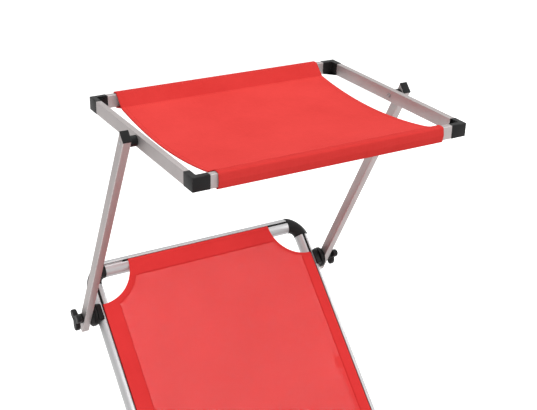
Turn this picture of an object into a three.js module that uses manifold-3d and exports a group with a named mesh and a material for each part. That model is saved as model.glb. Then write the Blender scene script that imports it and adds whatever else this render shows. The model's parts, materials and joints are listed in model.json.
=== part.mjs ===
// Folding three-section sun lounger with a tilting canopy: millimetres, Z up, head end towards +Y.
import * as THREE from 'three';
import { mergeVertices } from 'three/addons/utils/BufferGeometryUtils.js';
import Module from 'manifold-3d';

const wasm = await Module();
wasm.setup();

// Lounger: lengths of its sections, height of the lying surface, width between the cloth's grooves
const seatHeight = 290;
const backLength = 690;
const seatLength = 590;
const footLength = 570;
const grooveSpan = 555;
const reclineAngle = 47.4;

// Gap between neighbouring pieces, and how far a cutting tool runs past what it cuts
const clearance = 0.3;
const overrun = 2;

// Oval frame tube with a groove for the cloth's edge, on the crown of a side tube and outside the
// crown of an end tube, and the round corners between two tubes
const railWide = 35;
const railThick = 32;
const railWall = 1.6;
const endGrooveShift = 8;
const grooveWide = 3.5;
const grooveDeep = 6;
const railBend = 30;
const elbowCollar = 2;
const spigotLength = 24;

// Ratchet hinge between two sections
const hingeRise = 4;
const hingeRadius = 22;
const hingeThick = 29.2;
const hingeReach = 27;
const hingeCollar = 3;
const hingeLugRise = 10;
const hingePinRadius = 4;
const hingeHeadRadius = 8;
const hingeHeadThick = 2.5;

// Stretched cloth of the sections: round cut-outs at the frame's corners and beside the hinges
const clothThick = 1.2;
const clothEndGap = 2;
const cornerCutRadius = 90;
const hingeCutRadius = 75;

// Folding legs: bent tubes that turn in brackets under the side tubes
const legTubeRadius = 11;
const legTubeWall = 1.4;
const legBend = 45;
const legFoldGap = 4;
const legPinRadius = 3.5;
const legPinHeadRadius = 6.5;
const legPinHeadThick = 2;
const footLegInset = 250;
const middleLegInset = 70;
const rearLegInset = 370;
const footLegSplay = 10;
const middleLegSplay = 12;
const rearLegSplay = 8;
const foldedLegAngle = -90;
const bracketLength = 32;
const bracketGrip = 11;
const cheekThick = 4.5;
const cheekRadius = 13;

// Shoes clipped on the cross tubes of the legs
const shoeWide = 30;
const shoeSole = 5;
const shoeWrap = 3;
const shoeLength = 44;
const shoeChamfer = 5;
const shoeInset = 24;

// Canopy arms, and the clamps that hold them to the backrest
const armSpan = 579.6;
const armLean = 29.94;
const armThick = 17;
const armWide = 22.5;
const armWall = 1.3;
const armCorner = 1.5;
const armTail = 43;
const armHead = 14.2;
const armEndSlope = 19;
const armCapThick = 2.5;
const armCapLip = 0.4;
const armCapBevel = 0.8;
const armSpigotLength = 24;
const clampDrop = 104.6;
const clampLength = 46;
const clampTall = 40;
const clampChamfer = 6;
const clampWall = 5;
const clampReach = 11;
const clampDiscRadius = 25;
const clampDiscThick = 9.5;
const clampDiscRim = 2.5;
const clampBoltRadius = 3;
const clampBoltHeadRadius = 6;
const clampBoltHeadThick = 3;

// Knob with three lobes
const knobTipRadius = 27;
const knobValleyRadius = 11;
const knobThick = 14;
const knobBevel = 2;
const knobHubRadius = 11;
const knobHubLength = 8;
const knobRoof = 4;
const knobLobes = 3;

// Canopy frame of rectangular tubes, and the pivots between it and the arms
const canopyDepth = 467;
const canopyTall = 26.5;
const canopyThick = 12;
const canopyWall = 1.3;
const canopyCorner = 1.5;
const canopyTilt = 2.57;
const canopyElbowBevel = 1.5;
const canopyElbowReach = 34;
const canopySpigotLength = 20;
const spacerRadius = 10.5;
const spacerLength = 14.7;
const pivotRadius = 2.8;
const pivotNutRadius = 4.4;
const pivotNutThick = 2;
const pivotHeadRadius = 3.4;
const pivotHeadThick = 1;

// Canopy cloth: it sags between a sleeve round the front tube and a slanting sleeve round the rear tube
const canopyClothInset = 52.5;
const canopyClothThick = 1.2;
const canopySag = 20;
const frontSeamReach = 38;
const frontSeamDrop = 10.5;
const rearSeamReach = 37;
const rearSeamDrop = 20;
const seamTip = 3.6;
const sleeveRound = 1.5;

// Facet counts
const ovalSteps = 16;
const spigotSteps = 10;
const roundSteps = 16;
const pinSteps = 10;
const legSides = 12;
const bendSteps = 5;
const arcSteps = 8;
const sagSteps = 12;
const lobeSteps = 36;
const bevelSteps = 1;

// Places worked out from the sizes above, in the frame of a section whose hinge axis is at y = z = 0
const railX = grooveSpan / 2;
const faceZ = -hingeRise;
const railZ = faceZ - railThick / 2;
const hingeAxisHeight = seatHeight + hingeRise;
const legPivotZ = faceZ - railThick - legFoldGap - legTubeRadius;
const cheekNear = legTubeRadius + clearance;
const cheekFar = cheekNear + cheekThick;
const clampFar = railX + railWide / 2 + clampWall;
const armInside = clampFar + clampDiscThick + clearance;
const armOutside = armInside + armThick;
const knobStart = armOutside + clearance;
const knobFar = knobStart + knobHubLength + knobThick;
const canopyWidth = 2 * (armInside - 2 * clearance - spacerLength);
const canopyClothWidth = canopyWidth - 2 * canopyClothInset;
const toRadians = THREE.MathUtils.degToRad;

const finishes = {
  aluminium: { color: 0xc4c5c6, roughness: 0.38, metalness: 0.9 },
  plastic: { color: 0x1c1c1d, roughness: 0.5, metalness: 0 },
  rubber: { color: 0x161616, roughness: 0.8, metalness: 0 },
  steel: { color: 0x9a9c9e, roughness: 0.32, metalness: 1 },
  mesh: { color: 0xd9302c, roughness: 0.75, metalness: 0 },
  canvas: { color: 0xe23b36, roughness: 0.8, metalness: 0 },
};

// Joins and cuts of closed geometries
function toSolid(geometry) {
  const bare = geometry.clone();
  bare.deleteAttribute('normal');
  bare.deleteAttribute('uv');
  const merged = mergeVertices(bare);
  return new wasm.Manifold(new wasm.Mesh({
    numProp: 3,
    vertProperties: new Float32Array(merged.attributes.position.array),
    triVerts: new Uint32Array(merged.index.array),
  }));
}

function toGeometry(solid) {
  const { vertProperties, triVerts } = solid.getMesh();
  const geometry = new THREE.BufferGeometry();
  geometry.setAttribute('position', new THREE.BufferAttribute(new Float32Array(vertProperties), 3));
  geometry.setIndex(new THREE.BufferAttribute(new Uint32Array(triVerts), 1));
  geometry.computeVertexNormals();
  return geometry;
}

function fuse(...geometries) {
  return toGeometry(geometries.map(toSolid).reduce((whole, solid) => whole.add(solid)));
}

function cut(geometry, ...tools) {
  return toGeometry(tools.map(toSolid).reduce((whole, tool) => whole.subtract(tool), toSolid(geometry)));
}

// Scene graph helpers
function piece(name, geometry, finish, sideX = 1, sideY = 1) {
  const mesh = new THREE.Mesh(geometry, new THREE.MeshStandardMaterial(finishes[finish]));
  mesh.name = name;
  mesh.scale.set(sideX, sideY, 1);
  return mesh;
}

// One piece at +x and its mirror image at -x
function pair(nameAtPlus, nameAtMinus, geometry, finish) {
  return [piece(nameAtPlus, geometry, finish), piece(nameAtMinus, geometry, finish, -1)];
}

// The right side is at +x, but at -x in a part of the frame that is turned half round
function sides(name, geometry, finish, isTurned = false) {
  const names = [`${name}_right`, `${name}_left`];
  const [plus, minus] = isTurned ? names.reverse() : names;
  return pair(plus, minus, geometry, finish);
}

function group(position, angle, ...children) {
  const holder = new THREE.Group();
  holder.position.set(...position);
  holder.rotation.x = toRadians(angle);
  holder.add(...children);
  return holder;
}

// An outline extruded along Z from z = 0, with or without bevelled rims
function alongZ(shape, length, bevel = 0) {
  const rims = { bevelThickness: bevel, bevelSize: bevel, bevelOffset: -bevel, bevelSegments: bevelSteps };
  const options = { depth: length - 2 * bevel, bevelEnabled: bevel > 0, ...rims };
  return new THREE.ExtrudeGeometry(shape, options).translate(0, 0, bevel);
}

// An outline extruded along X from x = 0: its own x and y become Y and Z
function alongX(shape, length, bevel = 0) {
  return alongZ(shape, length, bevel).rotateX(Math.PI / 2).rotateZ(Math.PI / 2);
}

// An outline extruded along Y from y = 0: its own x and y become X and Z
function alongY(shape, length) {
  return alongZ(shape, length).rotateX(Math.PI / 2).translate(0, length, 0);
}

// A shape turned about the X axis, from pairs of a place along X and a radius
function turned(outline, steps = roundSteps) {
  const profile = outline.map(([place, radius]) => new THREE.Vector2(radius, place));
  return new THREE.LatheGeometry(profile, steps).rotateZ(-Math.PI / 2);
}

function barX(radius, from, to, steps = roundSteps) {
  return turned([[from, 0], [from, radius], [to, radius], [to, 0]], steps);
}

// A tool for a hole along X, with clearance round a pin
function boreX(pinRadius, from, to) {
  return barX(pinRadius + clearance, from, to, pinSteps);
}

// A pin along X with a flat head outside each end
function headedPin(radius, from, to, headRadius, headThick) {
  return turned([
    [from - headThick, 0], [from - headThick, headRadius], [from, headRadius], [from, radius],
    [to, radius], [to, headRadius], [to + headThick, headRadius], [to + headThick, 0],
  ], pinSteps);
}

function toShape(outline) {
  return new THREE.Shape(outline.map(([x, y]) => new THREE.Vector2(x, y)));
}

function arc(centreX, centreY, radiusX, radiusY, startAngle, endAngle, steps) {
  return Array.from({ length: steps + 1 }, (unused, index) => {
    const angle = startAngle + (endAngle - startAngle) * index / steps;
    return [centreX + radiusX * Math.cos(angle), centreY + radiusY * Math.sin(angle)];
  });
}

function oval(halfWide, halfTall, steps = ovalSteps) {
  return arc(0, 0, halfWide, halfTall, 0, 2 * Math.PI, steps).slice(0, steps);
}

// A rectangle about the origin whose corners are cut off
function chamfered(wide, tall, corner) {
  const x = wide / 2;
  const y = tall / 2;
  return [
    [x, y - corner], [x - corner, y], [corner - x, y], [-x, y - corner],
    [-x, corner - y], [corner - x, -y], [x - corner, -y], [x, corner - y],
  ];
}

function withHole(outline, hole) {
  const shape = toShape(outline);
  shape.holes.push(toShape(hole));
  return shape;
}

function boxTube(wide, tall, corner, wall) {
  return withHole(
    chamfered(wide, tall, corner),
    chamfered(wide - 2 * wall, tall - 2 * wall, corner / 2),
  );
}

function boxSpigot(wide, tall, corner, wall) {
  const inset = 2 * (wall + clearance);
  return toShape(chamfered(wide - inset, tall - inset, corner));
}

// The inside of the oval tube, inset from its outside: an oval that is flat under the groove
function ovalInside(inset, steps) {
  const halfWide = railWide / 2 - inset;
  const halfTall = railThick / 2 - inset;
  const roof = railThick / 2 - grooveDeep - inset;
  const lift = Math.asin(roof / halfTall);
  return arc(0, 0, halfWide, halfTall, -Math.PI - lift, lift, steps);
}

// The oval tube's section, with its groove on the crown or shifted from there towards +x
function ovalTube(grooveShift = 0) {
  const near = grooveShift - grooveWide / 2;
  const far = grooveShift + grooveWide / 2;
  const floor = railThick / 2 - grooveDeep;
  const start = Math.acos(near / (railWide / 2));
  const end = 2 * Math.PI + Math.acos(far / (railWide / 2));
  const rim = arc(0, 0, railWide / 2, railThick / 2, start, end, ovalSteps);
  return withHole([...rim, [far, floor], [near, floor]], ovalInside(railWall, ovalSteps));
}

function ovalSpigot() {
  return toShape(ovalInside(railWall + clearance, spigotSteps));
}

function solidOval(grow = 0) {
  return toShape(oval(railWide / 2 + grow, railThick / 2 + grow));
}

// A side tube at +x between two places along y
function sideTube(from, to) {
  return alongY(ovalTube(), to - from).translate(railX, from, railZ);
}

// A path through given stations, each a point and a direction
class StationPath extends THREE.Curve {
  constructor(stations) {
    super();
    this.stations = stations;
  }

  station(share) {
    return this.stations[Math.round(share * (this.stations.length - 1))];
  }

  getPointAt(share) {
    return this.station(share).point.clone();
  }

  getTangentAt(share) {
    return this.station(share).direction.clone();
  }
}

function carried(shape, stations) {
  const extrudePath = new StationPath(stations);
  return new THREE.ExtrudeGeometry(shape, { steps: stations.length - 1, extrudePath });
}

// Stations round a quarter bend that turns left in the plane that toVector maps to
function quarterBend(centre, radius, startAngle, toVector) {
  return Array.from({ length: bendSteps + 1 }, (unused, index) => {
    const angle = startAngle + Math.PI / 2 * index / bendSteps;
    const offset = toVector(radius * Math.cos(angle), radius * Math.sin(angle));
    return { point: centre.clone().add(offset), direction: toVector(-Math.sin(angle), Math.cos(angle)) };
  });
}

// The corner between a side tube at +x and a cross tube: a level bend with straight ends
function levelCorner(x, y, radius, straight, z) {
  const centre = new THREE.Vector3(x - radius, y - radius, z);
  const bend = quarterBend(centre, radius, 0, (across, along) => new THREE.Vector3(across, along, 0));
  const [first, last] = [bend[0], bend[bendSteps]];
  const ends = [[first, -straight], [last, straight]].map(([station, distance]) => ({
    point: station.point.clone().addScaledVector(station.direction, distance),
    direction: station.direction,
  }));
  return [ends[0], ...bend, ends[1]];
}

// Round corner of the lounger's frame, with a spigot into each of its two tubes
function frameElbow(crossY) {
  const body = carried(
    toShape(oval(railThick / 2, railWide / 2)),
    levelCorner(railX, crossY, railBend, elbowCollar, railZ),
  );
  const reach = spigotLength + elbowCollar;
  const alongSide = alongY(ovalSpigot(), reach).translate(railX, crossY - railBend - reach, railZ);
  const alongCross = alongX(ovalSpigot(), reach).translate(railX - railBend - reach, crossY, railZ);
  return fuse(body, alongSide, alongCross);
}

// Half of a ratchet hinge at +x, for a section that runs off towards +y
function hingeHalf(startX) {
  const thick = (hingeThick - clearance) / 2;
  const collarStart = hingeReach - clearance - hingeCollar;
  const lugEnd = collarStart + overrun;
  const lug = toShape([
    [0, -hingeRadius], [lugEnd, railZ - railThick / 2 + overrun],
    [lugEnd, faceZ - overrun], [0, hingeLugRise],
  ]);
  return fuse(
    barX(hingeRadius, startX, startX + thick),
    alongX(lug, thick).translate(startX, 0, 0),
    alongY(solidOval(), hingeCollar).translate(railX, collarStart, railZ),
    alongY(ovalSpigot(), hingeCollar + spigotLength).translate(railX, collarStart, railZ),
  );
}

// The inner half turns on the pin, which is one piece with the outer half
function innerHinge() {
  const start = railX - hingeThick / 2;
  const bore = boreX(hingePinRadius, start - overrun, railX + overrun);
  return cut(hingeHalf(start), bore);
}

function outerHinge() {
  const inner = railX - hingeThick / 2 - clearance;
  const outer = railX + hingeThick / 2;
  const pin = headedPin(hingePinRadius, inner, outer, hingeHeadRadius, hingeHeadThick);
  return fuse(hingeHalf(railX + clearance / 2), pin);
}

// Flat cloth of one section between two places along y, with a round cut-out at each corner
function sectionCloth(from, to, start, end, startRadius, endRadius) {
  const edge = grooveSpan / 2;
  const startLift = Math.asin((from - start) / startRadius);
  const endLift = Math.asin((end - to) / endRadius);
  const right = [
    ...arc(edge, start, startRadius, startRadius, Math.PI - startLift, Math.PI / 2, arcSteps),
    ...arc(edge, end, endRadius, endRadius, -Math.PI / 2, endLift - Math.PI, arcSteps),
  ];
  const left = right.map(([x, y]) => [-x, y]).reverse();
  return alongZ(toShape([...right, ...left]), clothThick).translate(0, 0, faceZ + clearance);
}

// Bracket under a side tube at +x that carries a leg's pin, about the pin's axis
function legBracket() {
  const tubeZ = railZ - legPivotZ;
  const top = tubeZ - railThick / 2 + bracketGrip;
  const half = bracketLength / 2;
  const block = toShape([[-cheekFar, cheekNear], [cheekFar, cheekNear], [cheekFar, top], [-cheekFar, top]]);
  const tubeSpace = alongY(solidOval(clearance), bracketLength + 2 * overrun);
  const grip = cut(
    alongY(block, bracketLength).translate(railX, -half, 0),
    tubeSpace.translate(railX, -half - overrun, tubeZ),
  );
  const cheek = alongX(toShape([
    ...arc(0, 0, cheekRadius, cheekRadius, -Math.PI, 0, arcSteps),
    [half, cheekNear + overrun], [-half, cheekNear + overrun],
  ]), cheekThick);
  return fuse(
    grip,
    cheek.clone().translate(railX - cheekFar, 0, 0),
    cheek.clone().translate(railX + cheekNear, 0, 0),
    headedPin(legPinRadius, railX - cheekFar, railX + cheekFar, legPinHeadRadius, legPinHeadThick),
  );
}

// Bent tube of a leg. It hangs from its pivot axis, and its open ends are rounded about that axis.
function legTube(drop) {
  const toVector = (across, up) => new THREE.Vector3(across, 0, up);
  const bendX = railX - legBend;
  const bendZ = legBend - drop;
  const stations = [
    { point: toVector(-railX, legTubeRadius), direction: toVector(0, -1) },
    ...quarterBend(toVector(-bendX, bendZ), legBend, Math.PI, toVector),
    ...quarterBend(toVector(bendX, bendZ), legBend, -Math.PI / 2, toVector),
    { point: toVector(railX, legTubeRadius), direction: toVector(0, 1) },
  ];
  const inner = legTubeRadius - legTubeWall;
  const ring = withHole(oval(legTubeRadius, legTubeRadius, legSides), oval(inner, inner, legSides));
  const far = railX + legTubeRadius + overrun;
  const above = legTubeRadius + overrun;
  const shell = [
    ...arc(0, 0, legTubeRadius, legTubeRadius, 0, Math.PI, arcSteps),
    [-above, 0], [-above, above], [above, above], [above, 0],
  ];
  return cut(
    carried(ring, stations),
    alongX(toShape(shell), 2 * far).translate(-far, 0, 0),
    boreX(legPinRadius, -far, far),
  );
}

// Shoe at +x on a leg's cross tube, about the tube's axis, with a level sole
function legShoe() {
  const grip = legTubeRadius + clearance;
  const lift = Math.asin(shoeWrap / grip);
  const half = shoeWide / 2;
  const sole = -legTubeRadius - shoeSole;
  const shape = toShape([
    [half, shoeWrap], [half, sole + shoeChamfer], [half - shoeChamfer, sole],
    [shoeChamfer - half, sole], [-half, sole + shoeChamfer], [-half, shoeWrap],
    ...arc(0, 0, grip, grip, Math.PI - lift, 2 * Math.PI + lift, 2 * arcSteps),
  ]);
  return alongX(shape, shoeLength).translate(railX - legBend - shoeInset - shoeLength / 2, 0, 0);
}

// A leg, as far from its section's hinge as y says. Unfolded, it stands at its splay with level soles.
function leg(name, y, splay, angle, isTurned) {
  const drop = (hingeAxisHeight + legPivotZ - legTubeRadius - shoeSole) / Math.cos(toRadians(splay));
  const shoes = group([0, 0, -drop], -splay, ...sides(`${name}_leg_shoe`, legShoe(), 'rubber', isTurned));
  return [
    group([0, y, legPivotZ], 0, ...sides(`${name}_leg_bracket`, legBracket(), 'plastic', isTurned)),
    group([0, y, legPivotZ], angle, piece(`${name}_leg_tube`, legTube(drop), 'aluminium'), shoes),
  ];
}

// A section with a free end: frame, hinge halves and cloth, from its hinge towards +y
function endSection(name, length, sideTubes, isTurned) {
  const crossY = length - endGrooveShift;
  const halfCross = railX - railBend - elbowCollar - clearance;
  const crossTube = alongX(ovalTube(endGrooveShift), 2 * halfCross).translate(-halfCross, crossY, railZ);
  const cloth = sectionCloth(clothEndGap, length, 0, length, hingeCutRadius, cornerCutRadius);
  return [
    piece(`${name}_end_rail`, crossTube, 'aluminium'),
    piece(`${name}_cloth`, cloth, 'mesh'),
    ...sides(`${name}_rail`, sideTubes, 'aluminium', isTurned),
    ...sides(`${name}_elbow`, frameElbow(crossY), 'plastic', isTurned),
    ...sides(`${name}_hinge`, innerHinge(), 'plastic', isTurned),
  ];
}

function endSideTube(length) {
  return sideTube(hingeReach, length - endGrooveShift - railBend - elbowCollar - clearance);
}

function footSection() {
  const parts = endSection('foot', footLength, endSideTube(footLength), true);
  const section = group(
    [0, -seatLength, 0], 0,
    ...parts,
    ...leg('foot', footLength - footLegInset, footLegSplay, footLegSplay, true),
  );
  section.rotation.z = Math.PI;
  return section;
}

function seatSection() {
  const cloth = sectionCloth(
    clothEndGap - seatLength, -clothEndGap, -seatLength, 0, hingeCutRadius, hingeCutRadius,
  );
  const backHinges = group([0, 0, 0], 0, ...sides('seat_back_hinge', outerHinge(), 'plastic', true));
  backHinges.rotation.z = Math.PI;
  return group(
    [0, 0, 0], 0,
    piece('seat_cloth', cloth, 'mesh'),
    ...sides('seat_rail', sideTube(hingeReach - seatLength, -hingeReach), 'aluminium'),
    backHinges,
    group([0, -seatLength, 0], 0, ...sides('seat_foot_hinge', outerHinge(), 'plastic')),
    ...leg('middle', -middleLegInset, middleLegSplay, middleLegSplay, false),
  );
}

// The clamp's moulding at +x about the bolt's axis: a saddle round the tube's outer half, and a disc
function clampBlock() {
  const near = railX + railWide / 2 - clampReach;
  const half = clampTall / 2;
  const section = toShape([
    [near, -half], [clampFar - clampChamfer, -half], [clampFar, clampChamfer - half],
    [clampFar, half - clampChamfer], [clampFar - clampChamfer, half], [near, half],
  ]);
  const start = -clampLength / 2;
  const tubeSpace = alongY(solidOval(clearance), clampLength + 2 * overrun);
  const discEnd = armInside - clearance;
  const disc = turned([
    [clampFar - overrun, 0], [clampFar - overrun, clampDiscRadius],
    [discEnd - clampDiscRim, clampDiscRadius], [discEnd, clampDiscRadius - clampDiscRim], [discEnd, 0],
  ]);
  return cut(
    fuse(alongY(section, clampLength).translate(0, start, 0), disc),
    tubeSpace.translate(railX, start - overrun, 0),
    boreX(clampBoltRadius, railX, armInside),
  );
}

// The clamp's bolt, from its head inside the side tube to its end in the knob
function clampBolt() {
  const headEnd = railX - railWide / 2 - clearance;
  const end = knobFar - knobRoof - clearance;
  return turned([
    [headEnd - clampBoltHeadThick, 0], [headEnd - clampBoltHeadThick, clampBoltHeadRadius],
    [headEnd, clampBoltHeadRadius], [headEnd, clampBoltRadius], [end, clampBoltRadius], [end, 0],
  ], pinSteps);
}

function backSection() {
  const clampY = backLength - clampDrop;
  const boltHole = boreX(clampBoltRadius, 0, clampFar).translate(0, clampY, railZ);
  return group(
    [0, 0, 0], reclineAngle,
    ...endSection('back', backLength, cut(endSideTube(backLength), boltHole), false),
    ...leg('rear', backLength - rearLegInset, rearLegSplay, foldedLegAngle, false),
    group(
      [0, clampY, railZ], 0,
      ...sides('clamp_block', clampBlock(), 'plastic'),
      ...sides('clamp_bolt', clampBolt(), 'steel'),
    ),
    group([0, clampY, railZ], armLean - reclineAngle, ...canopyArms()),
  );
}

// Height of the arm's slanting upper end, or of a plane above it, from the clamp's axis
function armEnd(y, above = 0) {
  return armSpan + armHead + y * Math.tan(toRadians(armEndSlope)) + above;
}

// Arm at +x, along z from the clamp's axis to the canopy's pivot
function armTube() {
  const section = boxTube(armThick, armWide, armCorner, armWall);
  const reach = armWide / 2 + overrun;
  const top = armEnd(reach, overrun);
  const slant = toShape([[-reach, armEnd(-reach)], [reach, armEnd(reach)], [reach, top], [-reach, top]]);
  return cut(
    alongZ(section, armTail + armEnd(reach)).translate(armInside + armThick / 2, 0, -armTail),
    alongX(slant, armThick + 2 * overrun).translate(armInside - overrun, 0, 0),
    boreX(clampBoltRadius, armInside - overrun, armOutside + overrun),
    boreX(pivotRadius, armInside - overrun, armOutside + overrun).translate(0, 0, armSpan),
  );
}

// Cap on the arm's slanting end, with a spigot that the pivot passes through
function armCap() {
  const half = armWide / 2 + armCapLip;
  const [inset, high] = [armWall + clearance, clearance + armCapThick];
  const inner = armWide / 2 - inset;
  const spigotEnd = armEnd(0, -armSpigotLength);
  const lid = toShape([
    [-half, armEnd(-half, clearance)], [half, armEnd(half, clearance)], [half, armEnd(half, high)],
    [-half, armEnd(-half, high)],
  ]);
  const spigot = toShape([
    [-inner, spigotEnd], [inner, spigotEnd],
    [inner, armEnd(inner, overrun)], [-inner, armEnd(-inner, overrun)],
  ]);
  const whole = fuse(
    alongX(lid, armThick + 2 * armCapLip, armCapBevel).translate(armInside - armCapLip, 0, 0),
    alongX(spigot, armThick - 2 * inset, armCorner).translate(armInside + inset, 0, 0),
  );
  const hole = boreX(pivotRadius, armInside, armOutside).translate(0, 0, armSpan);
  return cut(whole, hole);
}

// Knob at +x on the clamp's bolt, with one lobe that points down
function knob() {
  const middle = (knobTipRadius + knobValleyRadius) / 2;
  const swing = (knobTipRadius - knobValleyRadius) / 2;
  const lobes = Array.from({ length: lobeSteps }, (unused, index) => {
    const angle = 2 * Math.PI * index / lobeSteps;
    const radius = middle + swing * Math.cos(knobLobes * angle);
    return [radius * Math.sin(angle), -radius * Math.cos(angle)];
  });
  const lobeStart = knobStart + knobHubLength;
  return cut(
    fuse(
      barX(knobHubRadius, knobStart, lobeStart + knobBevel),
      alongX(toShape(lobes), knobThick, knobBevel).translate(lobeStart, 0, 0),
    ),
    boreX(clampBoltRadius, knobStart - overrun, knobFar - knobRoof),
  );
}

function canopyArms() {
  return [
    ...sides('arm', armTube(), 'aluminium'),
    ...sides('arm_cap', armCap(), 'plastic'),
    group([0, 0, 0], -armLean, ...sides('knob', knob(), 'plastic')),
    group([0, 0, armSpan], canopyTilt - armLean, ...canopy()),
  ];
}

// Canopy frame about the middle of its side tubes
function canopySideTube() {
  const half = canopyDepth / 2 - canopyElbowReach - clearance;
  const x = (canopyWidth - canopyThick) / 2;
  const tube = alongY(boxTube(canopyThick, canopyTall, canopyCorner, canopyWall), 2 * half);
  return cut(
    tube.translate(x, -half, 0),
    boreX(pivotRadius, x - canopyThick, x + canopyThick),
  );
}

function canopyCrossTube() {
  const half = canopyWidth / 2 - canopyElbowReach - clearance;
  const tube = alongX(boxTube(canopyThick, canopyTall, canopyCorner, canopyWall), 2 * half);
  return tube.translate(-half, (canopyDepth - canopyThick) / 2, 0);
}

// Square corner of the canopy's frame, with a spigot into each of its two tubes
function canopyElbow() {
  const outerX = canopyWidth / 2;
  const outerY = canopyDepth / 2;
  const [x, y] = [outerX - canopyThick / 2, outerY - canopyThick / 2];
  const [startX, startY] = [outerX - canopyElbowReach, outerY - canopyElbowReach];
  const body = toShape([
    [startX, outerY - canopyThick], [outerX - canopyThick, outerY - canopyThick],
    [outerX - canopyThick, startY], [outerX, startY], [outerX, outerY], [startX, outerY],
  ]);
  const spigot = boxSpigot(canopyThick, canopyTall, canopyCorner, canopyWall);
  const reach = canopySpigotLength + overrun;
  return fuse(
    alongZ(body, canopyTall, canopyElbowBevel).translate(0, 0, -canopyTall / 2),
    alongY(spigot, reach).translate(x, startY - canopySpigotLength, 0),
    alongX(spigot, reach).translate(startX - canopySpigotLength, y, 0),
  );
}

// Pivot at +x between canopy and arm: rivet and spacer in one
function canopyPivot() {
  const nutEnd = canopyWidth / 2 - canopyThick - clearance;
  const spacerStart = canopyWidth / 2 + clearance;
  const spacerEnd = armInside - clearance;
  const headStart = armOutside + clearance;
  return turned([
    [nutEnd - pivotNutThick, 0], [nutEnd - pivotNutThick, pivotNutRadius],
    [nutEnd, pivotNutRadius], [nutEnd, pivotRadius],
    [spacerStart, pivotRadius], [spacerStart, spacerRadius],
    [spacerEnd, spacerRadius], [spacerEnd, pivotRadius],
    [headStart, pivotRadius], [headStart, pivotHeadRadius],
    [headStart + pivotHeadThick, pivotHeadRadius], [headStart + pivotHeadThick, 0],
  ]);
}

// Side view of the sleeve round the rear tube: its outside, from the seam round to the seam, and its inside
function sleeve(seamReach, seamDrop) {
  const near = canopyDepth / 2 - canopyThick - clearance;
  const far = canopyDepth / 2 + clearance;
  const high = canopyTall / 2 + clearance;
  const seamY = canopyDepth / 2 - seamReach;
  const seamZ = canopyTall / 2 - seamDrop;
  const edge = far + canopyClothThick;
  const top = high + canopyClothThick;
  const outside = [
    [near, top], [edge - sleeveRound, top], [edge, top - sleeveRound],
    [edge, sleeveRound - top], [edge - sleeveRound, -top], [near, -top],
  ];
  const tip = [seamY + seamTip, seamZ - canopyClothThick / 2];
  return { seamY, seamZ, outside, inside: [[near, high], [far, high], [far, -high], [near, -high], tip] };
}

function canopyCloth() {
  const rear = sleeve(rearSeamReach, rearSeamDrop);
  const front = sleeve(frontSeamReach, frontSeamDrop);
  const toFront = ([y, z]) => [-y, z];
  const top = Array.from({ length: sagSteps + 1 }, (unused, index) => {
    const share = index / sagSteps;
    const depth = 4 * canopySag * share * (1 - share);
    return [
      THREE.MathUtils.lerp(-front.seamY, rear.seamY, share),
      THREE.MathUtils.lerp(front.seamZ, rear.seamZ, share) - depth,
    ];
  });
  const bottom = top.map(([y, z]) => [y, z - canopyClothThick]).reverse();
  const frontRound = front.outside.map(toFront).reverse();
  const outline = [...top, ...rear.outside, ...bottom, ...frontRound].reverse();
  const shape = withHole(outline, rear.inside);
  shape.holes.push(toShape(front.inside.map(toFront)));
  return alongX(shape, canopyClothWidth).translate(-canopyClothWidth / 2, 0, 0);
}

function canopy() {
  const elbow = canopyElbow();
  return [
    ...sides('canopy_side', canopySideTube(), 'aluminium'),
    piece('canopy_rear_rail', canopyCrossTube(), 'aluminium'),
    piece('canopy_front_rail', canopyCrossTube(), 'aluminium', 1, -1),
    piece('canopy_rear_elbow_right', elbow, 'plastic'),
    piece('canopy_rear_elbow_left', elbow, 'plastic', -1),
    piece('canopy_front_elbow_right', elbow, 'plastic', 1, -1),
    piece('canopy_front_elbow_left', elbow, 'plastic', -1, -1),
    piece('canopy_cloth', canopyCloth(), 'canvas'),
    ...sides('canopy_pivot', canopyPivot(), 'steel'),
  ];
}

// The whole lounger, moved so that its origin is on the floor under the middle of its bounding box
const lounger = group([0, 0, hingeAxisHeight], 0, seatSection(), backSection(), footSection());
const box = new THREE.Box3().setFromObject(lounger, true);
const middle = box.getCenter(new THREE.Vector3());
lounger.position.sub(new THREE.Vector3(middle.x, middle.y, box.min.z));

export default lounger;
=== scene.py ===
import json
import math
import bpy
import numpy as np
from mathutils import Euler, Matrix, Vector


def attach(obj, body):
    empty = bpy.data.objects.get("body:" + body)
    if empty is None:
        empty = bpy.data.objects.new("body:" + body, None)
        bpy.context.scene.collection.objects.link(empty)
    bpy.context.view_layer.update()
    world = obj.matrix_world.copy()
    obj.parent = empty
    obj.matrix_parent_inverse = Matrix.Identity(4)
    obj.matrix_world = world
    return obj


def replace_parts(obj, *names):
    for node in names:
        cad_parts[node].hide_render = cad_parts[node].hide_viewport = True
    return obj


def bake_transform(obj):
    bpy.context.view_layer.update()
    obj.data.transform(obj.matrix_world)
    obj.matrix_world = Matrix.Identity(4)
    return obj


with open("model.json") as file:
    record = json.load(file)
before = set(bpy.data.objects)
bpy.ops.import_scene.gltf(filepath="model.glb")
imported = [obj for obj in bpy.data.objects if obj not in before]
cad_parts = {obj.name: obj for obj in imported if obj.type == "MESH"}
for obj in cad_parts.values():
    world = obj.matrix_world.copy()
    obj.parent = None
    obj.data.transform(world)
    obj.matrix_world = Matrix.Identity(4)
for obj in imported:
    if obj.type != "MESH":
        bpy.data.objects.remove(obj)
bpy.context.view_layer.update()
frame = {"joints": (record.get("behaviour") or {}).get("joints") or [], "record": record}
print("frame loaded")

# Shapes are worked out in millimetres in the place of their own section, and stored in metres
toMetres = 0.001
joints = {joint["name"]: joint for joint in frame["joints"]}
bodies = frame["record"]["behaviour"]["bodies"]
bodyOf = {node: body for body, nodes in bodies.items() for node in nodes}

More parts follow.
